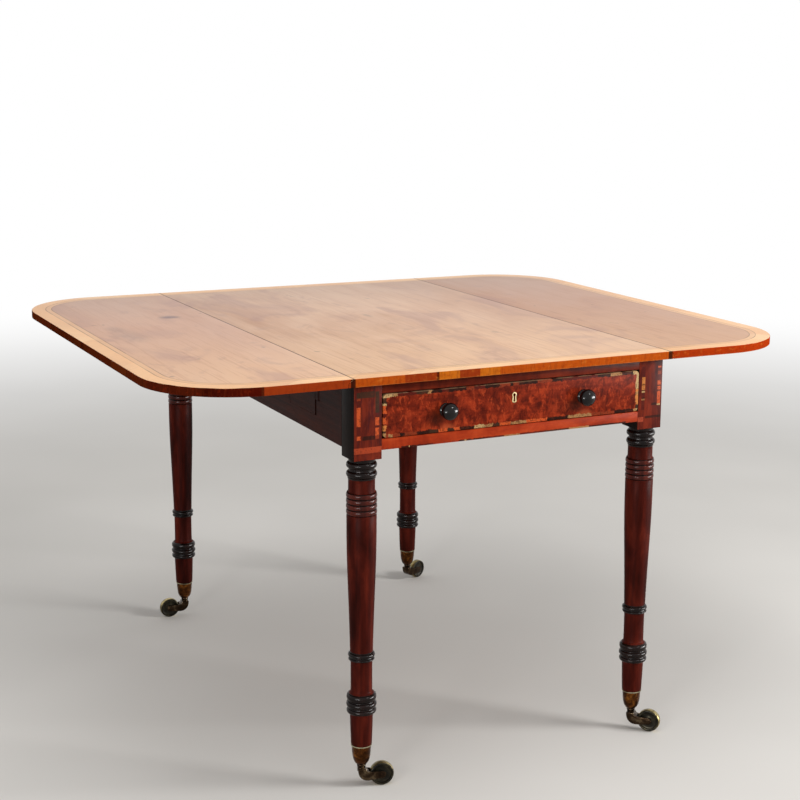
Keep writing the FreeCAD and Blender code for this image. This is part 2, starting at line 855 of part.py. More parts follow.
def make_runners():
    """What carries and guides the drawer, and what keeps it level when it is out."""
    inner = drawer_x + s.guide_gap - s.runner_width
    guide_inner = drawer_x + s.guide_gap
    front = s.front_rail_width - frame_y
    back = frame_y - s.back_rail_thickness
    foot = rail_top_face - s.runner_depth
    for label, side in (("left_runner", -1), ("right_runner", 1)):
        body = new_body(label)
        run = new_sketch(body, "XY_Plane", lift=foot)
        rectangle(run, inner, front, guide_inner, back, flip_x=side)
        pad(body, run, s.runner_depth)
        guide = new_sketch(body, "XY_Plane", lift=foot)
        rectangle(guide, guide_inner, front, side_rail_inner, clear_y, flip_x=side)
        pad(body, guide, s.runner_depth + s.guide_rise)
    for label, side in (("left_kicker", -1), ("right_kicker", 1)):
        body = new_body(label)
        strip = new_sketch(body, "XY_Plane", lift=opening_top)
        rectangle(strip, kicker_inner, front, side_rail_inner, clear_y, flip_x=side)
        pad(body, strip, s.top_rail_depth)
    unit = new_body("stop_unit", kept=False)
    start = s.stop_gap - drawer_inner_face
    low = (-s.stop_length / 2, start, rail_top_face)
    high = (s.stop_length / 2, start + s.stop_width, rail_top_face + s.stop_height)
    box(unit, low, high)
    gather("drawer_stops", unit, [(s.stop_spacing * side / 2,) for side in (-1, 1)])
    wedge = new_body("glue_block_unit", kept=False)
    section = new_sketch(wedge, "XZ_Plane")
    outline(section, [
        (kicker_inner, underside),
        (kicker_inner - s.glue_block_leg, underside),
        (kicker_inner, underside - s.glue_block_leg),
    ])
    pad(wedge, section, s.glue_block_length, both_ways=True)
    places = []
    for turn in (0, 180):
        for index in range(GLUE_BLOCKS_A_SIDE):
            offset = index - (GLUE_BLOCKS_A_SIDE - 1) / 2
            places.append((0, s.glue_block_spacing * offset, 0, turn))
    gather("glue_blocks", wedge, places)


def tail_corners(root_y, tip_y, foot, head, count):
    """Dovetails in a board's end, wider at the tip, as (y, z) corners."""
    pitch = (head - foot) / count
    tails = []
    for index in range(count):
        middle = foot + pitch * (index + 0.5)
        narrow = pitch * tail_narrow_share / 2
        wide = pitch * tail_wide_share / 2
        tails.append([
            (root_y, middle - narrow),
            (tip_y, middle - wide),
            (tip_y, middle + wide),
            (root_y, middle + narrow),
        ])
    return tails


def drawer_tails(sketch, place):
    """The tails at one end of a drawer side, drawn in its plane."""
    if place == "front":
        tip = s.dovetail_lap - drawer_face
        low = drawer_foot + s.drawer_corner_radius
        high = side_head - s.drawer_corner_radius
        tails = tail_corners(-drawer_inner_face, tip, low, high, TAIL_COUNT)
    else:
        start = drawer_tail - s.drawer_back_thickness
        tails = tail_corners(start, drawer_tail, back_foot, back_head, BACK_TAIL_COUNT)
    for corners in tails:
        outline(sketch, corners)


def make_drawer():
    """Front, two dovetailed sides, back, and a bottom that slides in grooves."""
    front = new_body("drawer_front")
    face = new_sketch(front, "XZ_Plane", lift=drawer_inner_face)
    rounded_board(face, drawer_x, drawer_foot, drawer_head, s.drawer_corner_radius)
    pad(front, face, s.drawer_front_thickness)
    groove_low = side_foot + s.bottom_rise
    groove_high = groove_low + s.drawer_bottom_thickness + s.groove_gap * 2
    side_inner = drawer_x - s.drawer_side_thickness
    for side in (-1, 1):
        sockets = new_sketch(front, "YZ_Plane", lift=drawer_x * side)
        drawer_tails(sockets, "front")
        pocket(front, sockets, s.drawer_side_thickness, backwards=side < 0)
    tongue = s.bottom_groove_depth
    hollow(
        front,
        (-side_inner, -drawer_inner_face - tongue, groove_low),
        (side_inner, s.overrun - drawer_inner_face, groove_high),
    )
    lock_foot = drawer_head - s.lock_height
    hollow(
        front,
        (-s.lock_width / 2, -drawer_inner_face - s.lock_depth, lock_foot),
        (s.lock_width / 2, s.overrun - drawer_inner_face, drawer_head + s.overrun),
    )

    start = -drawer_inner_face
    stop = drawer_tail - s.drawer_back_thickness
    for label, side in (("drawer_left_side", -1), ("drawer_right_side", 1)):
        body = new_body(label)
        board = new_sketch(body, "YZ_Plane", lift=drawer_x * side)
        outline(board, [
            (start, side_foot),
            (drawer_tail, side_foot),
            (drawer_tail, back_foot),
            (stop, back_foot),
            (stop, side_head),
            (start, side_head),
        ])
        pad(body, board, s.drawer_side_thickness, backwards=side > 0)
        for place in ("front", "back"):
            tails = new_sketch(body, "YZ_Plane", lift=drawer_x * side)
            drawer_tails(tails, place)
            pad(body, tails, s.drawer_side_thickness, backwards=side > 0)
        groove = new_sketch(body, "YZ_Plane", lift=side_inner * side)
        rectangle(groove, start, groove_low, drawer_tail + s.overrun, groove_high)
        pocket(body, groove, s.bottom_groove_depth, backwards=side > 0)

    back = new_body("drawer_back")
    low = (-drawer_x, stop, back_foot)
    high = (drawer_x, drawer_tail, back_head)
    box(back, low, high)
    for side in (-1, 1):
        sockets = new_sketch(back, "YZ_Plane", lift=drawer_x * side)
        drawer_tails(sockets, "back")
        pocket(back, sockets, s.drawer_side_thickness, backwards=side < 0)

    bottom = new_body("drawer_bottom")
    gap = s.groove_gap
    panel = new_sketch(bottom, "XY_Plane", lift=groove_low + gap)
    wide = side_inner + s.bottom_groove_depth - gap
    outline(panel, [
        (gap - side_inner, gap - drawer_inner_face - tongue),
        (side_inner - gap, gap - drawer_inner_face - tongue),
        (side_inner - gap, start + gap),
        (wide, start + gap),
        (wide, drawer_tail),
        (-wide, drawer_tail),
        (-wide, start + gap),
        (gap - side_inner, start + gap),
    ])
    pad(bottom, panel, s.drawer_bottom_thickness)


def make_knobs():
    """Turned knobs on a short neck. The unit stands on its origin, out along -Y."""
    unit = new_body("knob_unit", kept=False)
    profile = new_sketch(unit, "XY_Plane")
    outline(profile, [
        (0, 0),
        (0, -s.knob_projection),
        (s.knob_radius - s.knob_bevel, -s.knob_projection),
        (s.knob_radius, s.knob_bevel - s.knob_projection),
        (s.knob_radius, -s.knob_neck_length),
        (s.knob_neck_radius, -s.knob_neck_length),
        (s.knob_neck_radius, 0),
    ])
    turn_about(unit, profile)
    for label, end, turn in (("drawer_knobs", -1, 0), ("dummy_knobs", 1, 180)):
        places = [(knob_x * side, drawer_face * end, knob_height, turn) for side in (-1, 1)]
        gather(label, unit, places)


def make_lock():
    """A box lock let into the back of the drawer front, and its bolt."""
    case = new_body("lock_case")
    front = -drawer_inner_face - s.lock_depth
    box(
        case,
        (-s.lock_width / 2, front, drawer_head - s.lock_height),
        (s.lock_width / 2, -drawer_inner_face, drawer_head),
    )
    gap = s.bolt_gap
    hollow(
        case,
        (-s.bolt_width / 2 - gap, bolt_front - gap, bolt_head - s.bolt_length),
        (s.bolt_width / 2 + gap, bolt_front + s.bolt_thickness + gap, drawer_head + s.overrun),
    )
    bolt = new_body("lock_bolt")
    box(
        bolt,
        (-s.bolt_width / 2, bolt_front, bolt_head - s.bolt_length + gap),
        (s.bolt_width / 2, bolt_front + s.bolt_thickness, bolt_head),
    )


def make_cups():
    """Brass cups, tapered down to the casters, closed under the ends of the legs."""
    unit = new_body("cup_unit", kept=False)
    profile = new_sketch(unit, "XZ_Plane")
    outline(profile, [
        (0, s.cup_foot),
        (s.cup_foot_radius, s.cup_foot),
        (s.cup_radius, s.cup_height),
        (0, s.cup_height),
    ])
    turn_about(unit, profile)
    corners = [(leg_x * side, leg_y * end) for side in (-1, 1) for end in (-1, 1)]
    gather("caster_cups", unit, corners)


def make_caster(name, side, end):
    """A horn that swivels under the cup, with its axle riveted across the cheeks, and a
    wheel. The pieces' own frame is about the swivel, with the wheel towards +X."""
    angle = getattr(s, f"swivel_{name}")
    axle_z = s.wheel_radius
    slot = s.wheel_width + s.wheel_side_gap * 2
    width = slot + s.horn_cheek * 2
    half_neck = s.horn_neck / 2
    reach = s.horn_end_radius
    flat = reach * end_flat_share

    horn = new_body(f"{name}_horn")
    arm = new_sketch(horn, "XZ_Plane")
    outline(arm, [
        (-half_neck, s.horn_foot + s.horn_heel),
        (0, s.horn_foot),
        (s.caster_trail + flat, axle_z - reach),
        (s.caster_trail + reach, axle_z - flat),
        (s.caster_trail + reach, axle_z + flat),
        (s.caster_trail + flat, axle_z + reach),
        (half_neck, s.horn_top),
        (-half_neck, s.horn_top),
    ])
    pad(horn, arm, width, both_ways=True)
    neck = new_sketch(horn, "XZ_Plane")
    rectangle(neck, -half_neck, s.horn_top, half_neck, s.cup_foot - s.horn_gap)
    pad(horn, neck, s.horn_neck, both_ways=True)
    room = new_sketch(horn, "XY_Plane")
    start = s.caster_trail - s.wheel_radius - s.wheel_round_gap
    rectangle(room, start, -slot / 2, s.caster_trail + s.wheel_radius, slot / 2)
    pocket(horn, room, s.cup_foot, backwards=True)
    axle = new_sketch(horn, "XZ_Plane")
    disc(axle, s.caster_trail, axle_z, s.axle_radius)
    pad(horn, axle, slot + s.horn_cheek, both_ways=True)

    wheel = new_body(f"{name}_wheel")
    tread = new_sketch(wheel, "XZ_Plane")
    disc(tread, s.caster_trail, axle_z, s.wheel_radius)
    disc(tread, s.caster_trail, axle_z, s.axle_radius + s.axle_fit)
    pad(wheel, tread, s.wheel_width, both_ways=True)
    for body in (horn, wheel):
        move(body, leg_x * side, leg_y * end, 0, angle)


CORNERS = {
    "front_left": (-1, -1),
    "front_right": (1, -1),
    "back_left": (-1, 1),
    "back_right": (1, 1),
}

make_centre_top()
make_leaf("left_leaf", 180)
make_leaf("right_leaf", 0)
make_hinges()
for name, (side, end) in CORNERS.items():
    make_leg(f"{name}_leg", side, end)
make_front_rails()
make_side_rails()
make_back()
make_fly_rail("left_fly_rail", 180)
make_fly_rail("right_fly_rail", 0)
for name, (side, end) in CORNERS.items():
    make_fly_bracket(f"{name}_fly_bracket", side, end)
make_runners()
make_drawer()
make_knobs()
make_lock()
make_cups()
for name, (side, end) in CORNERS.items():
    make_caster(name, side, end)
doc.recompute()

for item in doc.Objects:
    if "Invalid" in item.State or "Error" in item.State:
        raise RuntimeError(f"{item.Label} failed: {item.State}")
for label, item in nodes.items():
    if item.Shape.isNull() or not item.Shape.isValid() or not item.Shape.Solids:
        raise RuntimeError(f"{label} has no valid solid")

os.makedirs("parts", exist_ok=True)
for label, item in nodes.items():
    item.Shape.exportStep(f"parts/{label}.step")
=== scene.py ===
from math import cos, pi, radians, sin

import bmesh
import bpy
from mathutils import Matrix, Vector


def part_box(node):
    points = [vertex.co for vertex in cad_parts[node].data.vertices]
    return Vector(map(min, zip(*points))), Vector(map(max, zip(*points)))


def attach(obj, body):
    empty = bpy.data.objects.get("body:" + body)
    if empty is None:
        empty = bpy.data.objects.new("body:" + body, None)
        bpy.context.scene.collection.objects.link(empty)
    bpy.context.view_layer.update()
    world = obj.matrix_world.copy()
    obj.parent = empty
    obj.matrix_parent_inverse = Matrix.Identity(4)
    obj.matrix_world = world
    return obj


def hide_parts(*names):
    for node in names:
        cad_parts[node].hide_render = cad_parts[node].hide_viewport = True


# The looks of a drop-leaf breakfast table of about 1810. Metres, in the frame of the
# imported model: Z is up, the drawer end faces -Y, and the leaves drop at -X and +X.
# Profiles, outlines and lengths of inlay are in mm, tones are red, green and blue as
# they are seen on screen, from 0 to 255.

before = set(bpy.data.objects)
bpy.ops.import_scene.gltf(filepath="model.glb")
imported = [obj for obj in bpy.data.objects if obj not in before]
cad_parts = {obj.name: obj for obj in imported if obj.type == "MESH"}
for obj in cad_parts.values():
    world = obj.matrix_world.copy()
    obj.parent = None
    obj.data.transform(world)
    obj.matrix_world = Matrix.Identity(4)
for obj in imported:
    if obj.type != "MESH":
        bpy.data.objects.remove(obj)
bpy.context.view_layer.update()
scene = bpy.context.scene
scene.view_settings.view_transform = "Standard"

MM = 0.001
# each corner's side along X and Y, and how far its caster has swivelled, in degrees
CORNERS = {
    "front_left": (-1, -1, -17),
    "front_right": (1, -1, -48),
    "back_left": (-1, 1, 177),
    "back_right": (1, 1, 23),
}
LEG_X = 0.2755
LEG_Y = 0.477
HALF_BLOCK = 0.025
BLOCK_FOOT = 0.5795
UNDERSIDE = 0.7055
TOP_HALF_X = 0.611
TOP_HALF_Y = 0.515
CORNER_RADIUS = 0.16
JOINT_X = 0.306
TRAIL = 0.035
WHEEL_RADIUS = 0.021
KNOB_X = 0.134
KNOB_Z = 0.6515
# the four reeds round a leg: their top and the height of each, in mm
REEDS_TOP = 521.5
REED = 9.4


# Node materials

INK = (34, 24, 20)
OLIVE = (58, 44, 32)
MAROON = (88, 30, 24)
RUST = (140, 56, 32)
ORANGE = (206, 88, 44)
AMBER = (206, 128, 66)
TAN = (174, 128, 82)
CREAM = (200, 164, 112)


def linear(tone):
    """A tone as the shader wants it."""
    shares = [value / 255 for value in tone]
    return [s / 12.92 if s <= 0.04045 else ((s + 0.055) / 1.055) ** 2.4 for s in shares] + [1]


class Nodes:
    """A node tree, built up from small steps."""

    def __init__(self, tree):
        self.tree = tree

    def feed(self, socket, value):
        if isinstance(value, bpy.types.NodeSocket):
            self.tree.links.new(value, socket)
        elif value is not None:
            socket.default_value = value

    def node(self, kind, feeds=None, **settings):
        """A new node, with its settings and with what goes into its sockets."""
        made = self.tree.nodes.new(f"ShaderNode{kind}")
        for key, value in settings.items():
            setattr(made, key, value)
        for key, value in (feeds or {}).items():
            self.feed(made.inputs[key], value)
        return made

    def parts(self, vector):
        return self.node("SeparateXYZ", {0: vector}).outputs[:]

    def join(self, x, y, z):
        return self.node("CombineXYZ", {0: x, 1: y, 2: z}).outputs[0]

    def math(self, operation, first, second=None, third=None):
        feeds = {0: first, 1: second, 2: third}
        return self.node("Math", feeds, operation=operation).outputs[0]

    def times(self, first, *others):
        for other in others:
            first = self.math("MULTIPLY", first, other)
        return first

    def plus(self, first, *others):
        for other in others:
            first = self.math("ADD", first, other)
        return first

    def less(self, first, second):
        return self.math("SUBTRACT", first, second)

    def sloped(self, value, slope, start):
        return self.math("MULTIPLY_ADD", value, slope, start)

    def size(self, value):
        return self.math("ABSOLUTE", value)

    def long_side(self, first, second):
        """The length of the diagonal across two lengths."""
        return self.math("SQRT", self.plus(self.times(first, first), self.times(second, second)))

    def seen(self):
        """1 for what the camera, polished surfaces and glass see, 0 for light on an object."""
        rays = self.node("LightPath").outputs
        rays = self.plus(rays["Is Camera Ray"], rays["Is Glossy Ray"], rays["Is Transmission Ray"])
        return self.math("MINIMUM", rays, 1)


class Paint(Nodes):
    """A node material."""

    def __init__(self, name):
        self.material = bpy.data.materials.new(name)
        self.material.use_nodes = True
        super().__init__(self.material.node_tree)
        self.shader = self.tree.nodes["Principled BSDF"]
        self.place = self.node("TexCoord")
        self.where = self.place.outputs["Object"]
        self.x, self.y, self.z = self.parts(self.where)

    def facing(self):
        return self.parts(self.place.outputs["Normal"])

    def scaled(self, scales, shift=(0, 0, 0)):
        feeds = {"Vector": self.where, "Scale": scales, "Location": shift}
        return self.node("Mapping", feeds).outputs[0]

    def noise(self, vector, detail=4, roughness=0.55, distortion=0):
        feeds = {"Vector": vector, "Scale": 1, "Detail": detail, "Roughness": roughness,
                 "Distortion": distortion}
        return self.node("TexNoise", feeds).outputs[0]

    def patches(self, scales, detail=3, roughness=0.55, distortion=0.5, shift=(0, 0, 0)):
        """Soft patches of a size set by the scales, mostly from 0.3 to 0.7."""
        return self.noise(self.scaled(scales, shift), detail, roughness, distortion)

    def cells(self, along, feature="F1"):
        """Veneer pieces laid end to end: a value per piece, or the distance to its seam."""
        made = self.node("TexVoronoi", {"W": along, "Scale": 1},
                         voronoi_dimensions="1D", feature=feature)
        if feature == "DISTANCE_TO_EDGE":
            return made.outputs["Distance"]
        return self.parts(made.outputs["Color"])[0]

    def step(self, value, low, high):
        """Smoothly 0 below low and 1 above high, or the other way round if low > high."""
        below, above = (0, 1) if low < high else (1, 0)
        feeds = {0: value, 1: min(low, high), 2: max(low, high), 3: below, 4: above}
        return self.node("MapRange", feeds, interpolation_type="SMOOTHSTEP").outputs[0]

    def span(self, value, low, high, soft=0.0003):
        """1 between low and high, 0 outside."""
        return self.times(self.step(value, low - soft, low + soft),
                          self.step(value, high + soft, high - soft))

    def spot(self, across, centre_across, up, centre_up, half_wide, half_tall):
        """A soft oval: 1 in its middle, 0 outside."""
        a = self.math("DIVIDE", self.less(across, centre_across), half_wide)
        b = self.math("DIVIDE", self.less(up, centre_up), half_tall)
        return self.step(self.long_side(a, b), 1, 0.2)

    def blend(self, factor, first, second):
        """One colour turning into another, each of them a tone or a node's colour."""
        feeds = {0: factor}
        for key, color in ((6, first), (7, second)):
            feeds[key] = linear(color) if isinstance(color, tuple) else color
        return self.node("Mix", feeds, data_type="RGBA").outputs[2]

    def over(self, color, factor, strength, other):
        """A colour with another laid over it."""
        return self.blend(self.times(factor, strength), color, other)

    def layers(self, color, *layers):
        """A colour with others laid over it, each where a value goes from low to high."""
        for value, low, high, strength, other in layers:
            color = self.over(color, self.step(value, low, high), strength, other)
        return color

    def ramp(self, value, stops, constant=False):
        """A tone for each part of a value's range."""
        made = self.node("ValToRGB", {0: value})
        ramp = made.color_ramp
        if constant:
            ramp.interpolation = "CONSTANT"
        while len(ramp.elements) < len(stops):
            ramp.elements.new(0.5)
        for element, (place, tone) in zip(ramp.elements, stops):
            element.position = place
            element.color = linear(tone)
        return made.outputs[0]

    def strip(self, along, low, pieces):
        """Inlay laid end to end from low: each piece's far end and its tone."""
        high = pieces[-1][0]
        stops, start = [], low
        for end, tone in pieces:
            stops.append(((start - low) / (high - low), tone))
            start = end
        share = self.sloped(along, 1 / MM / (high - low), -low / (high - low))
        return self.ramp(share, stops, constant=True)

    def grain(self, axis, streaks=70, run=3, shift=(0, 0, 0)):
        """Long streaks along x, y or z, from about 0.25 to 0.75."""
        scales = [streaks] * 3
        scales["xyz".index(axis)] = run
        return self.noise(self.scaled(scales, shift), 6, 0.6, 0.5)

    def pores(self, axis):
        """Short dark open pores along the grain: 1 in a pore."""
        scales = [900] * 3
        scales["xyz".index(axis)] = 45
        return self.step(self.noise(self.scaled(scales), 2, 0.5), 0.6, 0.72)

    def finish(self, color, roughness, bump=None, depth=0.0002, specular=0.5, metallic=0,
               coat=0, coat_roughness=0.12):
        for name, value in (("Base Color", color), ("Roughness", roughness),
                            ("Specular IOR Level", specular), ("Metallic", metallic),
                            ("Coat Weight", coat), ("Coat Roughness", coat_roughness)):
            self.feed(self.shader.inputs[name], value)
        if bump is not None:
            feeds = {"Strength": 1, "Distance": depth, "Height": bump}
            self.feed(self.shader.inputs["Normal"], self.node("Bump", feeds).outputs[0])
        return self.material


def plain_wood(name, axis, dark, middle, light, roughness=0.45, coat=0):
    """Straight-grained wood with streaks, pores and slow changes of tone."""
    paint = Paint(name)
    streak = paint.grain(axis)
    fine = paint.grain(axis, 260, 8, (3, 1, 2))
    slow = paint.patches((6, 6, 6))
    value = paint.plus(paint.times(slow, 0.45), paint.times(fine, 0.2), paint.times(streak, 0.55))
    color = paint.ramp(value, [(0.44, dark), (0.6, middle), (0.76, light)])
    pore = paint.pores(axis)
    color = paint.over(color, pore, 0.5, dark)
    rough = paint.sloped(slow, 0.2, roughness - 0.1)
    return paint.finish(color, rough, paint.less(fine, pore), 0.00015, 0.05, coat=coat)


# the top's old marks: place along X and Y, half its size either way, and how dark
MARKS = [
    (-385, 192, 28, 24, 0.9), (-516, 11, 44, 90, 0.3), (-520, 92, 26, 50, 0.3),
    (-563, -378, 6, 8, 0.6), (-336, -190, 5, 9, 0.45), (-20, 60, 10, 30, 0.35),
    (120, -210, 9, 16, 0.35)]
# the crossband's width, and its dark strings, in from the edge
BAND_WIDTH = 37.6
STRINGS = ((26.2, 28), (37.6, 39.4))


def top_field(paint, wide):
    """The figured veneer inside the border, pinker on the leaves, with painted light: paler to the
    front, darker to the right, and a grey painted sheen to the back.
    """
    streak = paint.grain("y", 30, 1.8)
    fine = paint.grain("y", 190, 6, (4, 0, 0))
    slow = paint.patches((4, 2, 1), 4, 0.5, 1, (0.2, 0.6, 0))
    value = paint.plus(paint.times(slow, 0.55), paint.times(fine, 0.16), paint.times(streak, 0.44))
    smudge = paint.patches((7, 3.6, 1), 3, 0.6, 0.9, (1.3, 0.4, 0))
    small = paint.patches((24, 13, 1), 3, 0.6, 0.6, (0.3, 2.4, 0))
    spots = paint.patches((40, 25, 1), 2, 0.5, 0.4, (2.1, 0.7, 0))
    field = paint.ramp(value, [
        (0.4, (186, 138, 106)), (0.54, (205, 161, 129)), (0.66, (214, 173, 142)),
        (0.82, (225, 189, 158))])
    field = paint.layers(
        field,
        (wide, JOINT_X - 0.0005, JOINT_X + 0.0005, 0.6, (196, 146, 120)),
        # painted light and shade: paler to the front, darker to the right, and greyer to the back
        # as a painted sheen
        (paint.y, 0.1, -0.5, 0.45, (240, 198, 154)),
        (paint.x, 0.1, 0.5, 0.42, (170, 124, 98)),
        (paint.y, 0.1, 0.5, 0.35, (168, 136, 116)),
        (fine, 0.5, 0.64, 0.28, (168, 112, 84)),
        (smudge, 0.52, 0.7, 0.46, (170, 132, 124)),
        (small, 0.56, 0.74, 0.34, (166, 124, 110)),
        (spots, 0.72, 0.78, 0.45, (120, 90, 80)))
    for across, up, half_wide, half_tall, strength in MARKS:
        mark = paint.spot(paint.x, across * MM, paint.y, up * MM, half_wide * MM, half_tall * MM)
        mark = paint.times(mark, paint.plus(spots, 0.4))
        field = paint.over(field, mark, strength, (112, 88, 88))
    return field, fine, smudge


WINE = (78, 15, 5)
DARK_SEAM = (80, 28, 12)
RUSSET = (152, 56, 20)
SCARLET = (176, 56, 14)
HONEY = (184, 80, 20)
GOLD = (198, 105, 25)
STRAW = (208, 134, 50)
# the lengths of crossbanding along the front edge, with thin seams between some
FRONT_EDGE = [
    (-464, WINE), (-463, DARK_SEAM), (-400, RUSSET), (-399.3, DARK_SEAM), (-306, RUSSET),
    (-217, HONEY), (-216, STRAW), (-157.6, RUSSET), (-156.8, DARK_SEAM), (-117.4, GOLD),
    (-81, RUSSET), (-80.2, STRAW), (-40, GOLD), (104, HONEY), (104.8, DARK_SEAM), (306, HONEY),
    (430, SCARLET), (430.8, DARK_SEAM), (611, SCARLET)]


def top_edge(paint, around, facing_x):
    """The short lengths of veneer laid across the edge of the top, with painted shade on the side
    facing -X.
    """
    pieces = paint.times(around, 11)
    tone = paint.cells(pieces)
    edge = paint.ramp(tone, [
        (0, (150, 66, 24)), (0.3, (178, 88, 30)), (0.55, (198, 112, 40)), (0.8, (180, 84, 32)),
        (1, (160, 66, 28))])
    on_front = paint.step(paint.y, -0.36, -0.4)
    edge = paint.blend(on_front, edge, paint.strip(paint.x, -TOP_HALF_X / MM, FRONT_EDGE))
    # painted shade: darker tones for the side of the edge that faces -X
    shaded_side = paint.ramp(tone, [
        (0, (40, 10, 4)), (0.35, (68, 20, 8)), (0.7, (84, 28, 12)), (1, (50, 14, 6))])
    lines, flecks = [
        paint.join(paint.times(around, across), paint.times(paint.z, up), shift)
        for across, up, shift in ((300, 40, 0), (90, 120, 4))]
    lines, flecks = paint.noise(lines, 4, 0.65), paint.noise(flecks, 4, 0.6)
    edge = paint.layers(
        edge,
        (facing_x, -0.25, -0.75, 0.92, shaded_side),
        (lines, 0.46, 0.72, 0.5, (116, 44, 20)),
        (flecks, 0.52, 0.7, 0.4, (140, 40, 14)))
    past_left_leaf = paint.step(paint.x, -0.31, -0.3)
    pale = paint.times(paint.step(flecks, 0.46, 0.3), past_left_leaf)
    edge = paint.over(edge, pale, 0.3, (216, 132, 52))
    seam = paint.step(paint.cells(pieces, "DISTANCE_TO_EDGE"), 0.012, 0.004)
    edge = paint.over(edge, paint.times(seam, paint.less(1, on_front)), 0.7, (34, 14, 10))
    foot = paint.times(paint.step(paint.z, 0.7072, 0.706), past_left_leaf)
    return paint.over(edge, foot, 0.3, (206, 130, 70))


def top_paint():
    """The top's figured field, the pale crossband inside its edge with dark strings, the
    lengths of crossbanding round the edge, and the plain wood of the underside."""
    paint = Paint("figured_top")
    wide, long = paint.size(paint.x), paint.size(paint.y)
    past_x = paint.less(wide, TOP_HALF_X - CORNER_RADIUS)
    past_y = paint.less(long, TOP_HALF_Y - CORNER_RADIUS)
    corner = paint.long_side(paint.math("MAXIMUM", past_x, 0), paint.math("MAXIMUM", past_y, 0))
    inside = paint.math("MINIMUM", paint.math("MAXIMUM", past_x, past_y), 0)
    inset = paint.less(paint.less(CORNER_RADIUS, corner), inside)
    # a different run of veneer pieces round each quarter
    quarter = paint.plus(paint.times(paint.math("SIGN", paint.x), 3.17),
                         paint.times(paint.math("SIGN", paint.y), 7.41))
    around = paint.plus(paint.less(wide, long), quarter)
    facing_x, _, facing_z = paint.facing()
    on_face = paint.step(facing_z, 0.55, 0.8)

    field, fine, smudge = top_field(paint, wide)
    tone = paint.cells(paint.times(around, 9))
    across = paint.noise(paint.join(paint.times(around, 260), paint.times(inset, 18), 0), 3, 0.6)
    band = paint.ramp(tone, [
        (0, (232, 178, 128)), (0.5, (240, 188, 137)), (1, (244, 198, 148))])
    band = paint.layers(band, (across, 0.45, 0.78, 0.3, (206, 156, 114)),
                        (smudge, 0.5, 0.72, 0.3, (200, 160, 132)))
    color = paint.blend(paint.step(inset, BAND_WIDTH * MM, BAND_WIDTH * MM + 0.0004), band, field)
    color = paint.over(color, paint.span(inset, 0.027, 0.038, 0.0004), 0.5, (206, 162, 126))
    strings = [paint.span(inset, low * MM, high * MM) for low, high in STRINGS]
    faded = paint.step(paint.patches((14, 14, 14)), 0.36, 0.6)
    faded = paint.sloped(faded, 0.45, 0.35)
    color = paint.over(color, paint.plus(*strings), faded, (128, 90, 66))
    joint = paint.span(wide, JOINT_X - 0.0011, JOINT_X + 0.0011)
    color = paint.over(color, joint, 0.92, (64, 38, 30))

    edge = top_edge(paint, around, facing_x)
    # painted shade: the joint's gap, dark on the edge where each leaf meets the centre
    joint_end = paint.span(wide, JOINT_X - 0.003, JOINT_X + 0.0054, 0.0006)
    edge = paint.over(edge, joint_end, 0.88, (30, 17, 14))

    streak = paint.grain("y", 60, 2.5, (7, 2, 1))
    under = paint.ramp(streak, [(0.3, (58, 30, 20)), (0.5, (84, 46, 30)), (0.72, (112, 66, 42))])
    at_edge = paint.times(paint.step(inset, 0.0022, 0.0016), paint.step(facing_z, -0.8, -0.6))
    color = paint.blend(on_face, paint.blend(at_edge, under, edge), color)
    rough = paint.plus(paint.times(smudge, 0.2), 0.28)
    height = paint.less(paint.times(fine, 0.6), paint.pores("y"))
    return paint.finish(color, rough, height, 0.00005, paint.times(on_face, 0.17))


def figure(paint, axis="x"):
    """Flame figure: streaks that wander, with short flashes across them."""
    streak = paint.grain(axis, 46, 5, (1, 5, 2))
    fine = paint.grain(axis, 240, 14, (2, 2, 9))
    flame = paint.patches((16, 16, 11), 5, 0.62, 1.8, (0.4, 0, 0.9))
    return paint.plus(paint.times(flame, 0.55), paint.times(fine, 0.2), paint.times(streak, 0.5))


def worn(paint, color, strength=0.7):
    """Old inlay, chipped and stained in small flecks."""
    fleck = paint.patches((380, 380, 380), 2, 0.5, 0)
    stain = paint.patches((110, 110, 110), 3, 0.6, 0.6, (2, 5, 1))
    return paint.layers(color, (fleck, 0.54, 0.68, strength, (52, 30, 22)),
                        (stain, 0.5, 0.7, strength * 0.8, (96, 44, 28)))


# a drawer front's middle up Z and half its size, and the far end and tone of each piece
# of its worn border, along X or up Z
FRONT_Z = 651
FRONT_HALF_X = 249
FRONT_HALF_Z = 36.5
BORDER_TOP = [
    (-231, CREAM), (-224, TAN), (-190, MAROON), (-168, OLIVE), (-163, TAN), (-143, INK),
    (-129, MAROON), (-96, INK), (-80, RUST), (-61, MAROON), (-35, INK), (-12, RUST), (-7, INK),
    (5, RUST), (40, INK), (70, RUST), (91, INK), (162, MAROON), (189, INK), (212, TAN), (237, INK),
    (249, CREAM)]
BORDER_FOOT = [
    (-246, TAN), (-240, RUST), (-232, TAN), (-218, RUST), (-212, INK), (-188, RUST), (-166, INK),
    (-149, OLIVE), (-131, ORANGE), (-119, OLIVE), (-107, ORANGE), (-80, INK), (-60, CREAM),
    (-46, TAN), (-32, OLIVE), (-11, ORANGE), (20, TAN), (62, ORANGE), (102, INK), (150, TAN),
    (200, RUST), (239, INK), (249, TAN)]
BORDER_LEFT = [
    (622, TAN), (626, OLIVE), (635, AMBER), (638, RUST), (649, ORANGE), (655, MAROON),
    (668, ORANGE), (672, CREAM), (681, OLIVE), (687.5, CREAM)]
BORDER_RIGHT = [
    (620, CREAM), (627, OLIVE), (644, AMBER), (650, TAN), (656, AMBER), (687.5, CREAM)]


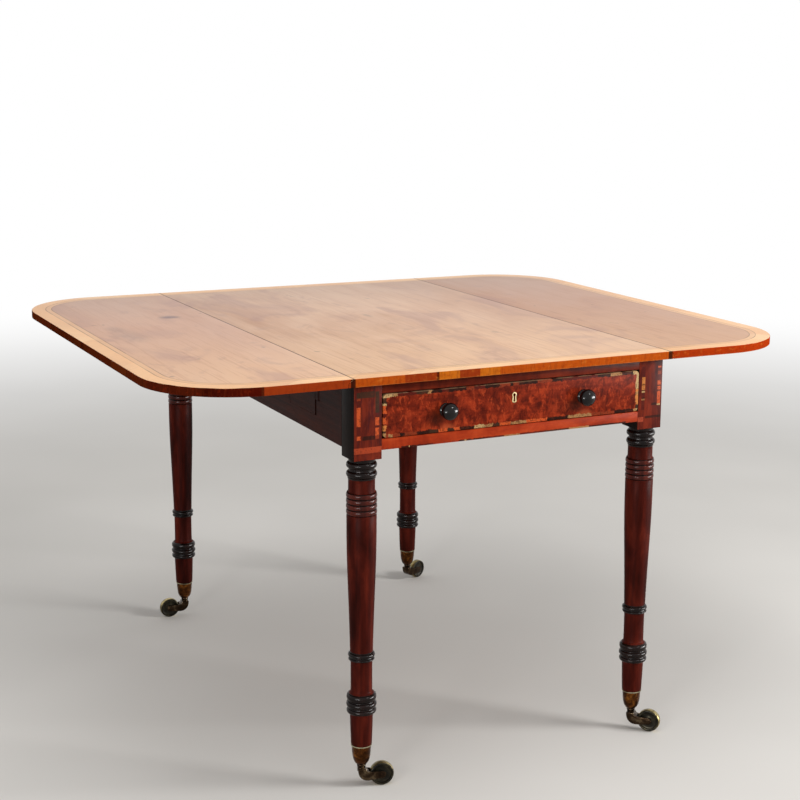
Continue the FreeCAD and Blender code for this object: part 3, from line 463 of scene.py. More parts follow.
def front_paint(name):
    """A drawer front: flame mahogany with dark mottles, in a worn border."""
    paint = Paint(name)
    color = paint.ramp(figure(paint), [
        (0.46, (92, 28, 16)), (0.58, (118, 37, 20)), (0.68, (140, 47, 25)), (0.8, (162, 60, 32))])
    mottle = paint.patches((34, 34, 26), 5, 0.65, 1, (0.5, 0.1, 3.1))
    curl = paint.patches((120, 120, 70), 4, 0.65, 0.8, (4, 0, 1))
    color = paint.layers(
        color,
        (mottle, 0.5, 0.62, 0.6, (78, 24, 15)),
        (mottle, 0.47, 0.35, 0.6, (184, 66, 34)),
        (curl, 0.52, 0.64, 0.6, (66, 20, 13)),
        (curl, 0.45, 0.34, 0.55, (190, 74, 38)))
    # the shade beside each knob, and the light thrown below it
    for knob_x in (-KNOB_X, KNOB_X):
        shade = paint.spot(paint.x, knob_x - 0.014, paint.z, KNOB_Z - 0.014, 0.026, 0.019)
        color = paint.over(color, shade, 0.75, (54, 26, 19))
        glow = paint.spot(paint.x, knob_x + 0.004, paint.z, KNOB_Z - 0.03, 0.02, 0.009)
        color = paint.over(color, glow, 0.5, (186, 88, 52))

    to_side = paint.less(FRONT_HALF_X * MM, paint.size(paint.x))
    from_middle = paint.less(paint.z, FRONT_Z * MM)
    to_rail = paint.less(FRONT_HALF_Z * MM, paint.size(from_middle))
    above = paint.math("GREATER_THAN", from_middle, 0)
    on_right = paint.math("GREATER_THAN", paint.x, 0)
    torn = paint.patches((150, 150, 150), 3, 0.7, 0, (6, 2, 4))
    shift = paint.sloped(torn, 0.01, -0.005)
    along_z, along_x = paint.plus(paint.z, shift), paint.plus(paint.x, shift)
    left, right = [paint.strip(along_z, FRONT_Z - FRONT_HALF_Z, pieces)
                   for pieces in (BORDER_LEFT, BORDER_RIGHT)]
    foot, top = [paint.strip(along_x, -FRONT_HALF_X, pieces)
                 for pieces in (BORDER_FOOT, BORDER_TOP)]
    border = paint.blend(paint.math("LESS_THAN", to_side, to_rail),
                         paint.blend(above, foot, top), paint.blend(on_right, left, right))
    ragged = paint.patches((170, 170, 170), 3, 0.6, 0, (1, 1, 1))
    breadth = paint.sloped(ragged, 0.008, 0.0016)
    inset = paint.math("MINIMUM", to_side, to_rail)
    in_border = paint.step(paint.less(inset, breadth), 0.0003, -0.0003)
    color = paint.over(color, in_border, 0.95, worn(paint, border))
    missing = paint.step(paint.patches((34, 34, 34), 3, 0.7, shift=(3, 0, 1)), 0.42, 0.52)
    thin_line = paint.times(paint.step(to_rail, 0.0011, 0.0007), above, missing)
    color = paint.over(color, thin_line, 0.5, (170, 134, 102))
    rough = paint.sloped(mottle, 0.25, 0.2)
    height = paint.less(paint.times(ragged, 0.5), paint.times(in_border, 0.6))
    return paint.finish(color, rough, height, 0.00015, 0.02)


RAIL_TONE = (166, 58, 30)
RAIL_BAND = [
    (-217, RAIL_TONE), (-203, INK), (-201, CREAM), (-188, INK), (-158, MAROON), (-109, RAIL_TONE),
    (-98, INK), (-94, CREAM), (-86, INK), (-81, RUST), (-62, INK), (-22, MAROON), (8, TAN),
    (60, MAROON), (107, OLIVE), (147, TAN), (224, INK), (250.5, RAIL_TONE)]


def rail_paint(name, tones, band=None):
    """A rail across the drawer end, the lower one with a thin worn band along its foot."""
    paint = Paint(name)
    color = paint.ramp(figure(paint), tones)
    if band:
        inlay = worn(paint, paint.strip(paint.x, -band[-1][0], band), 0.55)
        ragged = paint.patches((150, 150, 150), 3, 0.6, 0, (1, 4, 1))
        band_top = paint.sloped(ragged, 0.0036, 0.5956)
        color = paint.layers(color, (paint.less(paint.z, band_top), 0.0002, -0.0002, 0.9, inlay))
    return paint.finish(color, 0.32, paint.pores("x"), 0.00008, 0.03)


# the inlaid uprights of the front blocks: their sides from the block's middle, their foot
# and top, how much further right they stand on the right block, and their pieces up Z
UPRIGHTS = ((-20, -13.2), (13.2, 20))
UPRIGHT_FOOT = 614.5
UPRIGHT_TOP = 693.5
RIGHT_SHIFT = 1.8
LEFT_BLOCK = (
    [(614, MAROON), (621, ORANGE), (637, MAROON), (669, ORANGE), (680, MAROON), (684, RUST),
     (694, OLIVE)],
    [(620, RUST), (633, ORANGE), (637, MAROON), (650, ORANGE), (658, MAROON), (694, OLIVE)])
RIGHT_BLOCK = (
    [(632, MAROON), (635, TAN), (638, INK), (646, MAROON), (649, CREAM), (651, INK),
     (660, AMBER), (661, INK), (674, AMBER), (694, MAROON)],
    [(621, MAROON), (624, CREAM), (647, ORANGE), (649, INK), (656, ORANGE), (658, INK),
     (666, ORANGE), (677, MAROON), (683, RUST), (689, MAROON), (692, ORANGE), (694, MAROON)])
# the bands across them: foot, top, left, right, tone and strength
LEFT_LEVELS = [(684, 694.5, -13, 12, OLIVE, 0.8), (613.5, 620.5, -10, 13, INK, 0.8),
               (591.5, 601.5, -25, 25, (178, 72, 42), 0.85)]
RIGHT_LEVELS = [(622, 626.5, 3, 14, INK, 0.75), (599, 603.5, -10, 24, INK, 0.75),
                (593.5, 602, -25, -13, (178, 76, 52), 0.85)]


def block_paint(name, side, uprights, levels):
    """A leg's square block of mahogany, its sides near black as painted shade, its end faces red
    with inlaid uprights and bands.
    """
    paint = Paint(name)
    value = figure(paint, "z")
    on_end = paint.step(paint.size(paint.facing()[1]), 0.6, 0.85)
    # painted shade: every face that is not an end face gets these near-black tones
    dark = paint.ramp(value, [(0.42, (16, 12, 11)), (0.6, (28, 21, 19)), (0.8, (40, 27, 23))])
    red = paint.ramp(value, [
        (0.46, (60, 22, 18)), (0.58, (94, 32, 22)), (0.7, (124, 44, 27)), (0.82, (146, 54, 33))])
    streaks = paint.patches((190, 190, 26), 3, 0.6, 0.4, (3, 0, 1))
    red = paint.layers(red, (streaks, 0.52, 0.68, 0.5, (60, 26, 30)))
    across = paint.less(paint.x, side * LEG_X)
    shift = RIGHT_SHIFT if side > 0 else 0
    for (low, high), pieces in zip(UPRIGHTS, uprights):
        there = paint.times(paint.span(across, (low + shift) * MM, (high + shift) * MM),
                            paint.span(paint.z, UPRIGHT_FOOT * MM, UPRIGHT_TOP * MM))
        inlay = worn(paint, paint.strip(paint.z, 600, [(607, MAROON)] + pieces), 0.6)
        red = paint.over(red, there, 0.92, inlay)
    for low, high, left, right, tone, strength in levels:
        there = paint.times(paint.span(paint.z, low * MM, high * MM, 0.0004),
                            paint.span(across, left * MM, right * MM, 0.0004))
        red = paint.over(red, there, strength, worn(paint, tone, 0.5))
    return paint.finish(paint.blend(on_end, dark, red), 0.34, paint.pores("z"), 0.00006,
                        paint.sloped(on_end, 0.02, 0.015))


def turned_paint(name, tones, roughness, specular):
    """Turned mahogany, with streaks down the leg and slow changes of tone."""
    paint = Paint(name)
    streak = paint.grain("z", 60, 4)
    slow = paint.patches((30, 30, 9), 4, 0.6, 0.5)
    value = paint.plus(paint.times(streak, 0.5), paint.times(slow, 0.6))
    rough = paint.sloped(slow, 0.16, roughness)
    return paint.finish(paint.ramp(value, tones), rough, paint.pores("z"), 0.00004, specular)


def reed_paint():
    """The reeded band at the head of the taper, with painted shade in its grooves."""
    paint = Paint("reeded_mahogany")
    streak = paint.grain("z", 60, 4)
    color = paint.ramp(streak, [(0.36, (52, 18, 13)), (0.5, (76, 27, 19)), (0.64, (98, 38, 26))])
    turns = paint.math("DIVIDE", paint.less(paint.z, REEDS_TOP * MM), REED * MM)
    from_groove = paint.math("PINGPONG", turns, 0.5)
    # painted shade in the grooves between the reeds
    color = paint.layers(color, (from_groove, 0.2, 0.06, 0.9, (12, 6, 5)))
    return paint.finish(color, 0.22, paint.pores("z"), 0.00004, 0.12)


def metal_paint(name, dark, middle, light, roughness=0.3, metallic=1):
    """Cast metal with patina in blotches and fine pits."""
    paint = Paint(name)
    blotch = paint.patches((55, 55, 55), 5, 0.6, 0.8)
    fine = paint.patches((420, 420, 420), 3, 0.6, 0)
    value = paint.plus(paint.times(blotch, 0.75), paint.times(fine, 0.25))
    color = paint.ramp(value, [(0.38, dark), (0.52, middle), (0.66, light)])
    rough = paint.sloped(blotch, -0.35, roughness + 0.2)
    return paint.finish(color, rough, fine, 0.0001, metallic=metallic)


def black_paint():
    paint = Paint("ebonised_wood")
    streak = paint.patches((60, 60, 60))
    color = paint.ramp(streak, [(0.35, (8, 6, 6)), (0.7, (22, 15, 13))])
    rough = paint.sloped(streak, 0.1, 0.14)
    return paint.finish(color, rough, streak, 0.00002, 0.2, coat=0.1, coat_roughness=0.03)


OAK = (98, 64, 38), (138, 96, 58), (166, 122, 80)
PAINTS = {
    "top": top_paint(),
    "drawer_front": front_paint("drawer_front_veneer"),
    "dummy_front": front_paint("dummy_front_veneer"),
    "bottom_rail": rail_paint("bottom_rail_wood", [
        (0.46, (136, 41, 20)), (0.58, (162, 53, 25)), (0.7, (182, 66, 31)),
        (0.84, (196, 82, 42))], RAIL_BAND),
    "top_rail": rail_paint("top_rail_wood", [
        (0.46, (66, 20, 12)), (0.58, (90, 29, 16)), (0.7, (112, 38, 20)),
        (0.84, (130, 48, 26))]),
    "left_block": block_paint("left_block", -1, LEFT_BLOCK, LEFT_LEVELS),
    "right_block": block_paint("right_block", 1, RIGHT_BLOCK, RIGHT_LEVELS),
    "shaft": turned_paint("turned_mahogany", [
        (0.42, (43, 12, 8)), (0.56, (70, 21, 14)), (0.72, (104, 36, 23))], 0.3, 0.022),
    "reeds": reed_paint(),
    "rings": turned_paint("turned_rings", [
        (0.4, (8, 4, 3)), (0.56, (20, 9, 7)), (0.75, (38, 17, 12))], 0.14, 0.16),
    "mahogany_x": plain_wood(
        "mahogany_rail", "x", (44, 16, 12), (72, 28, 19), (98, 42, 27), 0.35, 0.1),
    "beech_y": plain_wood("stained_beech", "y", (30, 9, 6), (52, 19, 12), (72, 30, 19), 0.5),
    "pine_y": plain_wood("aged_pine", "y", (104, 66, 38), (140, 94, 56), (168, 120, 76), 0.6),
    "pine_z": plain_wood(
        "aged_pine_blocks", "z", (96, 60, 36), (134, 88, 54), (160, 112, 72), 0.6),
    "oak_y": plain_wood("drawer_oak_sides", "y", *OAK, 0.5),
    "oak_x": plain_wood("drawer_oak_back", "x", *OAK, 0.5),
    "black": black_paint(),
    "iron": metal_paint("hinge_iron", (38, 26, 20), (66, 54, 46), (92, 80, 70), 0.45, 0.8),
    "steel": metal_paint("lock_steel", (70, 62, 54), (112, 104, 96), (150, 142, 132), 0.35),
    "cup": metal_paint("cup_brass", (44, 24, 12), (84, 48, 22), (164, 104, 40), 0.25),
    "rim": metal_paint("cup_rim", (118, 108, 84), (156, 148, 120), (190, 184, 158), 0.2),
    "horn": metal_paint("caster_brass", (30, 21, 15), (56, 42, 30), (116, 100, 78), 0.18),
    "wheel": metal_paint("wheel_brass", (84, 76, 50), (136, 122, 82), (190, 172, 122), 0.3),
    "recess": metal_paint("wheel_recess", (16, 14, 10), (34, 31, 23), (70, 64, 48), 0.32, 0.8),
    "plate": metal_paint(
        "lock_plate", (150, 128, 88), (196, 172, 122), (216, 196, 152), 0.35, 0.5),
}


# Pieces

ARRIS = 0.0007


def as_piece(name, mesh, body, slot, paints, which=None, smooth_below=40):
    """A mesh as a piece that rides on a body. Which gives the paint for a face's middle."""
    for paint in paints:
        mesh.materials.append(PAINTS[paint])
    if which:
        for polygon in mesh.polygons:
            polygon.material_index = which(polygon.center)
    mesh.polygons.foreach_set("use_smooth", [True] * len(mesh.polygons))
    mesh.set_sharp_from_angle(angle=radians(smooth_below))
    mesh.update()
    piece = new_object(name, mesh)
    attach(piece, body)
    return piece


def new_object(name, data):
    made = bpy.data.objects.new(name, data)
    scene.collection.objects.link(made)
    return made


def new_mesh(name, vertices, faces):
    mesh = bpy.data.meshes.new(name)
    mesh.from_pydata([tuple(v) for v in vertices], [], faces)
    return mesh


def mesh_piece(name, vertices, faces, *rest, **more):
    mesh = new_mesh(name, vertices, faces)
    mesh.validate()
    return as_piece(name, mesh, *rest, **more)


def cut_out(mesh, vertices, faces):
    """A mesh with another form taken out of it."""
    tool_mesh = new_mesh("tool", vertices, faces)
    tool, host = new_object("tool", tool_mesh), new_object("host", mesh)
    cut = host.modifiers.new("cut", "BOOLEAN")
    cut.object = tool
    cut.solver = "EXACT"
    state = bpy.context.evaluated_depsgraph_get()
    result = bpy.data.meshes.new_from_object(host.evaluated_get(state))
    for item in (tool, host):
        bpy.data.objects.remove(item)
    bpy.data.meshes.remove(tool_mesh)
    return result


def softened(node, body, slot, paint, name=None, hole=None):
    """A node's own shape with its outward arrises rounded, in its place."""
    name = name or f"{node}_board"
    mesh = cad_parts[node].data.copy()
    mesh.materials.clear()
    shape = bmesh.new()
    shape.from_mesh(mesh)
    bmesh.ops.remove_doubles(shape, verts=shape.verts, dist=0.000002)
    bmesh.ops.dissolve_limit(shape, angle_limit=radians(0.5), verts=shape.verts,
                             edges=shape.edges)
    arrises = [e for e in shape.edges if e.is_convex and e.calc_face_angle(0) > radians(30)]
    bmesh.ops.bevel(shape, geom=arrises, offset=ARRIS, offset_type="OFFSET", segments=2,
                    profile=0.6, affect="EDGES", clamp_overlap=True)
    for face in shape.faces:
        face.material_index = 0
    shape.to_mesh(mesh)
    shape.free()
    if hole:
        mesh = cut_out(mesh, *hole)
    mesh.name = name
    piece = as_piece(name, mesh, body, slot, [paint], smooth_below=32)
    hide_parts(node)


def turning(profile, origin, axis=(0, 0, 1), around=72):
    """Vertices and faces of a turned form, its profile given as radius and height."""
    axis = Vector(axis).normalized()
    side = axis.orthogonal().normalized()
    other = axis.cross(side)
    origin = Vector(origin)
    turns = [2 * pi * i / around for i in range(around)]
    ring = [side * cos(turn) + other * sin(turn) for turn in turns]
    vertices, faces, rows = [], [], []
    for radius, height in profile:
        middle = origin + axis * height * MM
        if radius == 0:
            rows.append([len(vertices)] * around)
            vertices.append(middle)
        else:
            rows.append(list(range(len(vertices), len(vertices) + around)))
            vertices += [middle + out * radius * MM for out in ring]
    for low, high in zip(rows, rows[1:]):
        for i in range(around):
            j = (i + 1) % around
            corners = list(dict.fromkeys((low[i], low[j], high[j], high[i])))
            if len(corners) > 2:
                faces.append(corners)
    return vertices, faces


def gathered(parts):
    """Several forms as one set of vertices and faces."""
    vertices, faces = [], []
    for more_vertices, more_faces in parts:
        start = len(vertices)
        vertices += more_vertices
        faces += [[v + start for v in face] for face in more_faces]
    return vertices, faces


def slab(outline, low, high, bevel, placed):
    """An outline in X and Z as a plate between two places along Y with rounded edges,
    set in place by a matrix."""
    shape = bmesh.new()
    near = [shape.verts.new((x, low, z)) for x, z in outline]
    far = [shape.verts.new((x, high, z)) for x, z in outline]
    shape.faces.new(near)
    shape.faces.new(list(reversed(far)))
    for i in range(len(outline)):
        j = (i + 1) % len(outline)
        shape.faces.new((near[j], near[i], far[i], far[j]))
    bmesh.ops.recalc_face_normals(shape, faces=shape.faces)
    rim = [e for e in shape.edges if e.calc_face_angle(0) > radians(50)]
    bmesh.ops.bevel(shape, geom=rim, offset=bevel, segments=3, profile=0.5, affect="EDGES",
                    clamp_overlap=True)
    shape.verts.index_update()
    vertices = [placed @ (v.co * MM) for v in shape.verts]
    faces = [[v.index for v in f.verts] for f in shape.faces]
    shape.free()
    return vertices, faces


def bead(valley, crest, high, low, steps=10):
    """A half round ring from high down to low."""
    middle, half = (high + low) / 2, (high - low) / 2
    turns = [pi * i / steps for i in range(steps + 1)]
    return [(valley + (crest - valley) * sin(turn), middle + half * cos(turn)) for turn in turns]


UPPER_NECK = [
    (23.3, 547.4), (23.3, 545.2), (22.4, 544.4), (22.3, 540), (22.3, 533), (22.4, 526),
    (22.8, 522.4), (24.4, 521.8)]
TAPER = [
    (24.6, 483.6), (25.2, 482), (25.1, 446), (24.7, 416), (23.9, 386), (22.4, 345), (21.1, 309),
    (20, 271), (19.3, 244.5)]
LOWER_NECK = [
    (18.9, 228.8), (18.4, 225), (18.3, 200), (18.4, 176), (18.7, 173.6), (19.6, 171.6),
    (21.4, 170.3)]
ANKLE = [
    (21, 134.6), (20, 133.4), (19.6, 130), (18.8, 104), (17.9, 79), (17.4, 77.1), (16.9, 76.7),
    (0, 76.7)]


def leg_points():
    """A leg's turning from the block's foot down to the cup, as radius and height."""
    points = [(0, 579.5), (22.4, 579.5), (22, 575)]
    points += bead(21.8, 25.7, 573.6, 563, 14) + [(21.6, 560.6)]
    points += bead(21.8, 25.8, 558.2, 547.8, 14) + UPPER_NECK
    for k in range(4):
        points += bead(24, 25.9, REEDS_TOP - 0.1 - REED * k, REEDS_TOP + 0.1 - REED * (k + 1), 8)
    points += TAPER
    points += bead(19.4, 22.8, 242.6, 235, 12) + [(19.6, 234.2)]
    points += bead(20, 22.2, 233.4, 229.3, 8) + LOWER_NECK
    points += bead(22.2, 25.3, 169.4, 157.8, 12) + [(21.7, 156.6)]
    points += bead(22.2, 25.8, 155.6, 146, 12) + [(21.7, 144.6)]
    points += bead(22.4, 25.3, 143.2, 135.2, 10)
    return points + ANKLE


# the foot, the top and the paint of each dark ring (1) and of the reeded band (2)
LEG_BANDS = [
    (563.1, 579.5, 1), (544.6, 562.9, 1), (483.6, 521.9, 2), (228.9, 243.6, 1), (134.6, 170.4, 1)]


def leg_part(centre):
    """The paint of a face of the leg, 0 for the plain shaft."""
    return sum(part for low, high, part in LEG_BANDS if low * MM < centre.z < high * MM)


def make_leg(corner, side, end):
    x, y = side * LEG_X, end * LEG_Y
    shaft = mesh_piece(f"{corner}_leg_turning", *turning(leg_points(), (x, y, 0), around=80),
                       "frame", "mahogany", ["shaft", "rings", "reeds"], leg_part, 50)
    block = bmesh.new()
    bmesh.ops.create_cube(
        block, size=1.0, matrix=Matrix.Translation((x, y, (UNDERSIDE + BLOCK_FOOT) / 2))
        @ Matrix.Diagonal((HALF_BLOCK * 2, HALF_BLOCK * 2, UNDERSIDE - BLOCK_FOOT, 1)))
    bmesh.ops.bevel(block, geom=block.edges[:], offset=0.0009, segments=3, profile=0.5,
                    affect="EDGES")
    mesh = bpy.data.meshes.new(f"{corner}_leg_block")
    block.to_mesh(mesh)
    block.free()
    head = as_piece(f"{corner}_leg_block", mesh, "frame", "mahogany",
                    ["left_block" if side < 0 else "right_block"])
    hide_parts(f"{corner}_leg")
    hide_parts(f"{corner}_leg")


CUP = [
    (0, 76.6), (17.5, 76.6), (18, 76.1), (18, 75.1), (17.5, 74.6), (16.7, 74.2), (16.4, 70),
    (16, 63), (15.2, 56), (14.2, 50.5), (13, 47), (11.6, 44.4), (10, 42.2), (8.6, 40.8), (8, 40.2),
    (7.6, 40.05), (0, 40.05)]
CUP_RIM = 74.4


def make_cups():
    parts = [turning(CUP, (sx * LEG_X, sy * LEG_Y, 0)) for sx, sy, _ in CORNERS.values()]
    cups = mesh_piece("turned_caster_cups", *gathered(parts), "frame", "cup_brass",
                      ["cup", "rim"], lambda centre: 1 if centre.z > CUP_RIM * MM else 0)
    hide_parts("caster_cups")


# half a wheel's section out from the axle: hub, recessed side, rim and crowned tread
WHEEL = [
    (0, 6.3), (3.8, 6.3), (4.8, 6), (5.4, 5), (6, 3.9), (8, 3.5), (14, 3.5), (15.4, 3.9),
    (16.1, 5.2), (16.7, 6.2), (17.6, 6.5), (19, 6.4), (20.1, 5.6), (20.7, 4), (20.95, 2), (21, 0)]
RECESS_RADIUS = 20
# the horn seen from the side, from its neck down its back and along the cheek, round the
# cheek's end, and back to the neck
HORN = [
    (-6.8, 33), (-6.4, 28), (-5.4, 23.4), (-3.6, 19.4), (-0.8, 16), (3, 13.4), (7.5, 12),
    (12, 11.6), (20, 12.6), (28, 14.2), (32, 14.8)]
CHEEK_RADIUS = 6.4
HORN_TOP = [(32, 27), (24, 27.2), (16, 27.4), (11, 28.2), (8, 30), (7, 33)]
# the bridge that joins the two cheeks, from the horn's back to its top
BRIDGE_FRONT = [(12.4, 12.5), (12.7, 20), (12.4, 27)]
CHEEK_INSIDE, CHEEK_OUTSIDE, BRIDGE_SIDE = 6.9, 9.5, 8.2
NECK = [
    (0, 39.95), (7.6, 39.9), (7.9, 39.2), (7.8, 37.8), (7.2, 37), (6.9, 35), (6.9, 31), (7.3, 28),
    (0, 28)]
RIVET = [(0, 9.9), (1.6, 9.85), (2.5, 9.6), (2.9, 9), (2.9, 8), (0, 8)]


def make_caster(corner, side, end, degrees):
    placed = (Matrix.Translation((side * LEG_X, end * LEG_Y, 0))
              @ Matrix.Rotation(radians(degrees), 4, "Z"))
    centre = placed @ Vector((TRAIL, 0, WHEEL_RADIUS))
    axle = placed.to_3x3() @ Vector((0, 1, 0))
    section = WHEEL + [(r, -h) for r, h in reversed(WHEEL[:-1])]

    def wheel_part(place):
        away = place - centre
        return 1 if (away - axle * away.dot(axle)).length < RECESS_RADIUS * MM else 0

    wheel = mesh_piece(f"{corner}_turned_wheel", *turning(section, centre, axle),
                       f"{corner}_wheel", "wheel_brass", ["wheel", "recess"], wheel_part)
    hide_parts(f"{corner}_wheel")

    turns = [radians(-115 + k * 19) for k in range(1, 12)]
    cheek_end = [(TRAIL / MM + CHEEK_RADIUS * cos(turn),
                  WHEEL_RADIUS / MM + CHEEK_RADIUS * sin(turn)) for turn in turns]
    cheek = HORN + cheek_end + HORN_TOP
    bridge = HORN[:8] + BRIDGE_FRONT + HORN_TOP[3:]
    parts = [slab(cheek, CHEEK_INSIDE, CHEEK_OUTSIDE, 0.7, placed),
             slab(cheek, -CHEEK_OUTSIDE, -CHEEK_INSIDE, 0.7, placed),
             slab(bridge, -BRIDGE_SIDE, BRIDGE_SIDE, 1.6, placed),
             turning(NECK, placed.translation, around=48)]
    parts += [turning(RIVET, centre, axle * way, 32) for way in (-1, 1)]
    horn = mesh_piece(f"{corner}_cast_horn", *gathered(parts), f"{corner}_caster",
                      "caster_brass", ["horn"], smooth_below=45)
    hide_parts(f"{corner}_horn")


# a turned knob from its face to its foot, as radius and distance from the drawer
KNOB = [
    (0, 25.5), (3.6, 25.3), (7, 24.6), (10, 23.2), (12.5, 21.2), (14.3, 18.6), (15, 15.6),
    (14.8, 12.7), (13.7, 10), (11.8, 7.9), (9.9, 6.5), (9, 5.4), (8.8, 4.2), (9.4, 3.2),
    (10.8, 2.5), (11.8, 1.7), (12.2, 0.8), (12.2, 0), (0, 0)]


def make_knobs(node, name, body, face_y, out):
    parts = [turning(KNOB, (x, face_y, KNOB_Z), (0, out, 0), 64) for x in (-KNOB_X, KNOB_X)]
    knobs = mesh_piece(name, *gathered(parts), body, "ebonised_wood", ["black"], smooth_below=60)
    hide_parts(node)


# half widths of the lock plate and of its keyhole, up from the plate's foot
PLATE = [
    (0, 0), (2.2, 0.5), (3.4, 1.5), (4.1, 3.2), (4.2, 5), (3.75, 7.5), (3.6, 10), (3.8, 12.3),
    (4.35, 14), (4.35, 15.2), (3.6, 16.6), (2.2, 17.9), (1, 18.7), (0, 19)]
KEYHOLE = [
    (0, 2.6), (1.1, 2.8), (1.6, 3.6), (1.65, 5), (1.35, 7.5), (1.2, 10), (1.5, 11.6), (2.1, 12.8),
    (2.25, 14), (2, 15), (1.5, 15.8), (0.8, 16.3), (0.4, 16.5), (0, 16.6)]
PLATE_FOOT = 651.7
PLATE_MIDDLE = PLATE_FOOT + 9.5
PLATE_X = -3.6
PLATE_PROUD = 0.35
PLATE_SHOULDER = 0.15
PLATE_SUNK = 0.8


def whole_outline(half):
    """Both sides of a half outline, as places in X and Z."""
    right = [(PLATE_X + w, PLATE_FOOT + h) for w, h in half]
    return right + [(2 * PLATE_X - x, z) for x, z in reversed(right[1:-1])]


def keyhole_tool(front, back):
    """The keyhole as a solid plug between two places along Y."""
    ring = whole_outline(KEYHOLE)
    n = len(ring)
    vertices = [Vector((x, y, z)) * MM for y in (front, back) for x, z in ring]
    faces = [list(range(n)), list(reversed(range(n, 2 * n)))]
    faces += [[(i + 1) % n, i, n + i, n + (i + 1) % n] for i in range(n)]
    return vertices, faces


def make_lock_plate(face):
    """The pale plate let in round the keyhole, a hair proud of the drawer front."""
    outer, inner = whole_outline(PLATE), whole_outline(KEYHOLE)
    n = len(outer)
    proud, soft, sunk = face - PLATE_PROUD, face - PLATE_SHOULDER, face + PLATE_SUNK

    def moved(ring, share):
        return [(PLATE_X + (x - PLATE_X) * share, PLATE_MIDDLE + (z - PLATE_MIDDLE) * share)
                for x, z in ring]

    rows = [(outer, sunk), (outer, soft), (moved(outer, 0.965), proud),
            (moved(inner, 1.05), proud), (inner, soft), (inner, sunk)]
    vertices = [Vector((x, y, z)) * MM for ring, y in rows for x, z in ring]
    faces = []
    for start in range(0, n * (len(rows) - 1), n):
        for i in range(n):
            j = (i + 1) % n
            faces.append([start + i, start + j, start + n + j, start + n + i])
    mesh_piece("keyhole_plate", vertices, faces, "drawer", "cup_brass", ["plate"])


# screw heads: radius, half the width of the slot, and how far they stand below the hinge
# and reach up into it
SCREW_RADIUS = 3.1
HALF_SLOT = 0.35
SCREW_BELOW = 0.0004
SCREW_ABOVE = 0.0002


def make_screws(name, places, body, z):
    """Countersunk screw heads, each as two halves with a slot between them."""
    parts = []
    for x, y, turn in places:
        c, s = cos(turn), sin(turn)
        for sign in (1, -1):
            rim = [(SCREW_RADIUS * cos(pi * i / 12),
                    sign * (HALF_SLOT + (SCREW_RADIUS - HALF_SLOT) * sin(pi * i / 12)))
                   for i in range(13)]
            low = [(x + (u * c - v * s) * MM, y + (u * s + v * c) * MM, z - SCREW_BELOW)
                   for u, v in rim]
            high = [(px, py, z + SCREW_ABOVE) for px, py, _ in low]
            n = len(rim)
            faces = [list(range(n))]
            faces += [[i, (i + 1) % n, n + (i + 1) % n, n + i] for i in range(n)]
            if sign > 0:
                faces = [list(reversed(f)) for f in faces]
            parts.append((low + high, faces))
    mesh_piece(name, *gathered(parts), body, "hinge_iron", ["iron"])


for corner, (side, end, degrees) in CORNERS.items():
    make_leg(corner, side, end)
    make_caster(corner, side, end, degrees)
make_cups()
drawer_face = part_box("drawer_front")[0].y
make_knobs("drawer_knobs", "turned_drawer_knobs", "drawer", drawer_face, -1)
make_knobs("dummy_knobs", "turned_dummy_knobs", "frame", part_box("dummy_drawer_front")[1].y, 1)
make_lock_plate(drawer_face / MM)

softened("centre_top", "frame", "figured_top", "top")
softened("left_leaf", "left_leaf", "figured_top", "top")
softened("right_leaf", "right_leaf", "figured_top", "top")
lock_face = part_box("lock_case")[0].y
softened("drawer_front", "drawer", "mahogany", "drawer_front",
         hole=keyhole_tool(drawer_face / MM - 2, lock_face / MM + 0.5))
softened("dummy_drawer_front", "frame", "mahogany", "dummy_front", "dummy_front_board")
softened("front_top_rail", "frame", "mahogany", "top_rail")
softened("front_bottom_rail", "frame", "mahogany", "bottom_rail")
softened("back_rail", "frame", "mahogany", "mahogany_x")

# the nodes that are seen as they are, under the paint of each
CAD_PAINTS = {
    "pine_y": ["left_side_rail", "right_side_rail", "left_runner", "right_runner",
               "left_kicker", "right_kicker", "drawer_stops"],
    "beech_y": ["left_fly_rail", "right_fly_rail"] + [f"{c}_fly_bracket" for c in CORNERS],
    "pine_z": ["glue_blocks"],
    "oak_y": ["drawer_left_side", "drawer_right_side"],
    "oak_x": ["drawer_back", "drawer_bottom"],
    "iron": ["hinge_top_flaps", "left_leaf_flaps", "right_leaf_flaps"],
    "steel": ["lock_case", "lock_bolt"],
}
for paint, nodes in CAD_PAINTS.items():
    for node in nodes:
        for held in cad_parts[node].material_slots:
            held.material = PAINTS[paint]

# each flap's screws, out from the joint and along it from the middle of the hinge
HINGE_Y = 0.28
TOP_SCREWS = ((-0.01, -0.021), (-0.022, 0), (-0.01, 0.021))
LEAF_SCREWS = ((0.014, -0.021), (0.034, 0), (0.014, 0.021))
for side, name in ((-1, "left"), (1, "right")):
    for body, label, screws in (("frame", "top", TOP_SCREWS),
                                (f"{name}_leaf", "leaf", LEAF_SCREWS)):
        places = [(side * (JOINT_X + dx), end * HINGE_Y + dy, 0.6 + 1.1 * k + end + side)
                  for end in (-1, 1) for k, (dx, dy) in enumerate(screws)]
        make_screws(f"{name}_{label}_hinge_screws", places, body, UNDERSIDE)


# Floor, light and camera

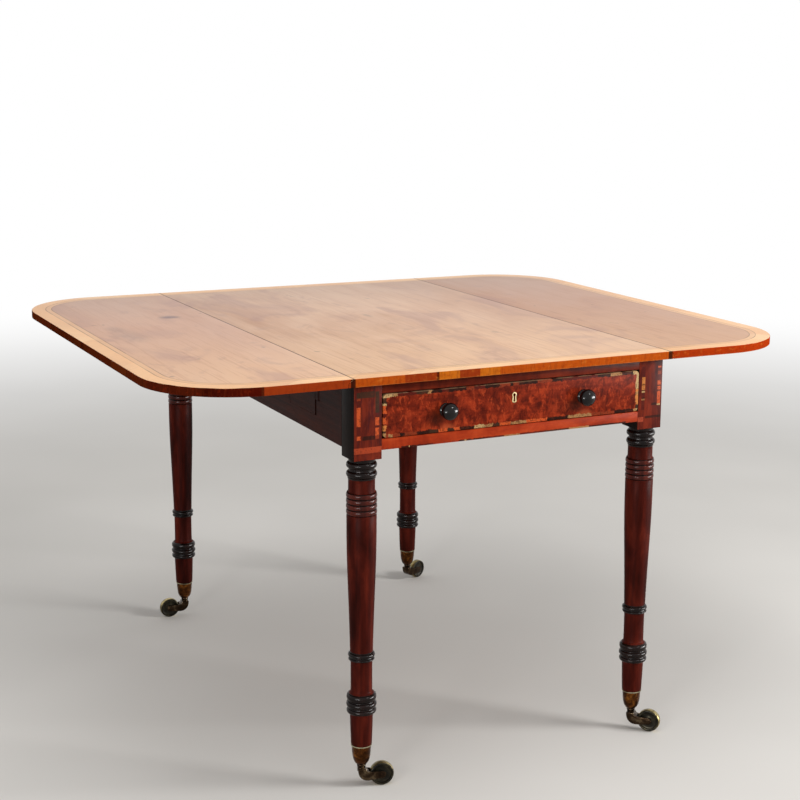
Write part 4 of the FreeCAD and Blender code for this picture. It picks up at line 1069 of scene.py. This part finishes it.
def make_floor():
    """A pale disc that glows white far from the table, in what the camera and polished
    surfaces see of it, and lights nothing."""
    rings = [(r, 0) for r in (0, 800, 2000, 4000, 8000, 16000, 40000)]
    mesh = new_mesh("studio_floor", *turning(rings, (0, 0, 0), around=96))
    floor = new_object("studio_floor", mesh)
    paint = Paint("studio_floor")
    grey = paint.patches((1.4, 1.4, 1.4), 2, 0.5, 0)
    paint.finish(paint.ramp(grey, [(0.3, (218, 215, 210)), (0.7, (225, 222, 217))]), 0.7,
                 specular=0)
    far = paint.step(paint.long_side(paint.x, paint.y), 1.6, 5)
    glow = paint.node("Emission", {"Color": (1, 1, 1, 1)})
    mixed = paint.node("MixShader", {
        0: paint.times(paint.seen(), far), 1: paint.shader.outputs[0], 2: glow.outputs[0]})
    paint.feed(paint.tree.nodes["Material Output"].inputs["Surface"], mixed.outputs[0])
    mesh.materials.append(paint.material)


def make_world():
    """White to the camera and in polished surfaces, at half strength as a light."""
    world = bpy.data.worlds.new("studio")
    scene.world = world
    world.use_nodes = True
    nodes = Nodes(world.node_tree)
    strength = nodes.sloped(nodes.seen(), 0.5, 0.5)
    back = nodes.tree.nodes["Background"].inputs
    nodes.feed(back["Color"], (1, 1, 1, 1))
    nodes.feed(back["Strength"], strength)


def make_lamp(name, place, height, size, power, gloss=True, diffuse=True):
    """A lamp that looks at a height on the middle of the table."""
    lamp = bpy.data.lights.new(name, "AREA")
    lamp.shape = "RECTANGLE"
    lamp.size, lamp.size_y = size
    lamp.energy = power
    held = new_object(name, lamp)
    held.visible_camera = False
    held.visible_glossy = gloss
    held.visible_diffuse = diffuse
    held.location = place
    ahead = Vector((0, 0, height)) - Vector(place)
    held.rotation_euler = ahead.to_track_quat("-Z", "Y").to_euler()


# the camera fitted to the photo: its place, its turns in radians, and its focal length
# and optical centre in pixels of a square picture
CAMERA_PLACE = (-1.3289, -2.8046, 1.2246)
YAW, PITCH, ROLL = 0.482, 0.2, 0.012
PICTURE = 800
FOCAL = 1599.4
CENTRE_ACROSS, CENTRE_DOWN = 451.1, 381.9
SENSOR = 36


def make_camera():
    ahead = Vector((sin(YAW) * cos(PITCH), cos(YAW) * cos(PITCH), -sin(PITCH)))
    right = Vector((cos(YAW), -sin(YAW), 0))
    up = right.cross(ahead)
    across = right * cos(ROLL) + up * sin(ROLL)
    upward = up * cos(ROLL) - right * sin(ROLL)
    turned = Matrix((across, upward, -ahead)).transposed().to_4x4()
    lens = bpy.data.cameras.new("camera")
    lens.sensor_width = SENSOR
    lens.sensor_fit = "HORIZONTAL"
    lens.lens = FOCAL / PICTURE * SENSOR
    lens.shift_x = (PICTURE / 2 - CENTRE_ACROSS) / PICTURE
    lens.shift_y = (CENTRE_DOWN - PICTURE / 2) / PICTURE
    lens.clip_end = 200
    camera = new_object("camera", lens)
    camera.matrix_world = Matrix.Translation(CAMERA_PLACE) @ turned
    scene.camera = camera


make_floor()
make_world()
make_lamp("key", (2.9, -2.5, 2.1), 0.5, (1.3, 0.7), 96, gloss=False)
make_lamp("fill", (-3, -2.6, 1.7), 0.5, (0.8, 0.5), 15, gloss=False)
make_lamp("above", (-0.5, -0.6, 3.3), 0.6, (2.2, 1.6), 26, gloss=False)
# windows that only polished surfaces show: two below the level of the top, one small and high
make_lamp("right_window", (3.3, -2.2, 0.38), 0.38, (2.4, 0.62), 170, diffuse=False)
make_lamp("left_window", (-3.1, -2.7, 0.38), 0.38, (2, 0.62), 80, diffuse=False)
make_lamp("high_window", (1.6, -3.6, 3), 0.6, (0.6, 0.5), 40, diffuse=False)
make_camera()
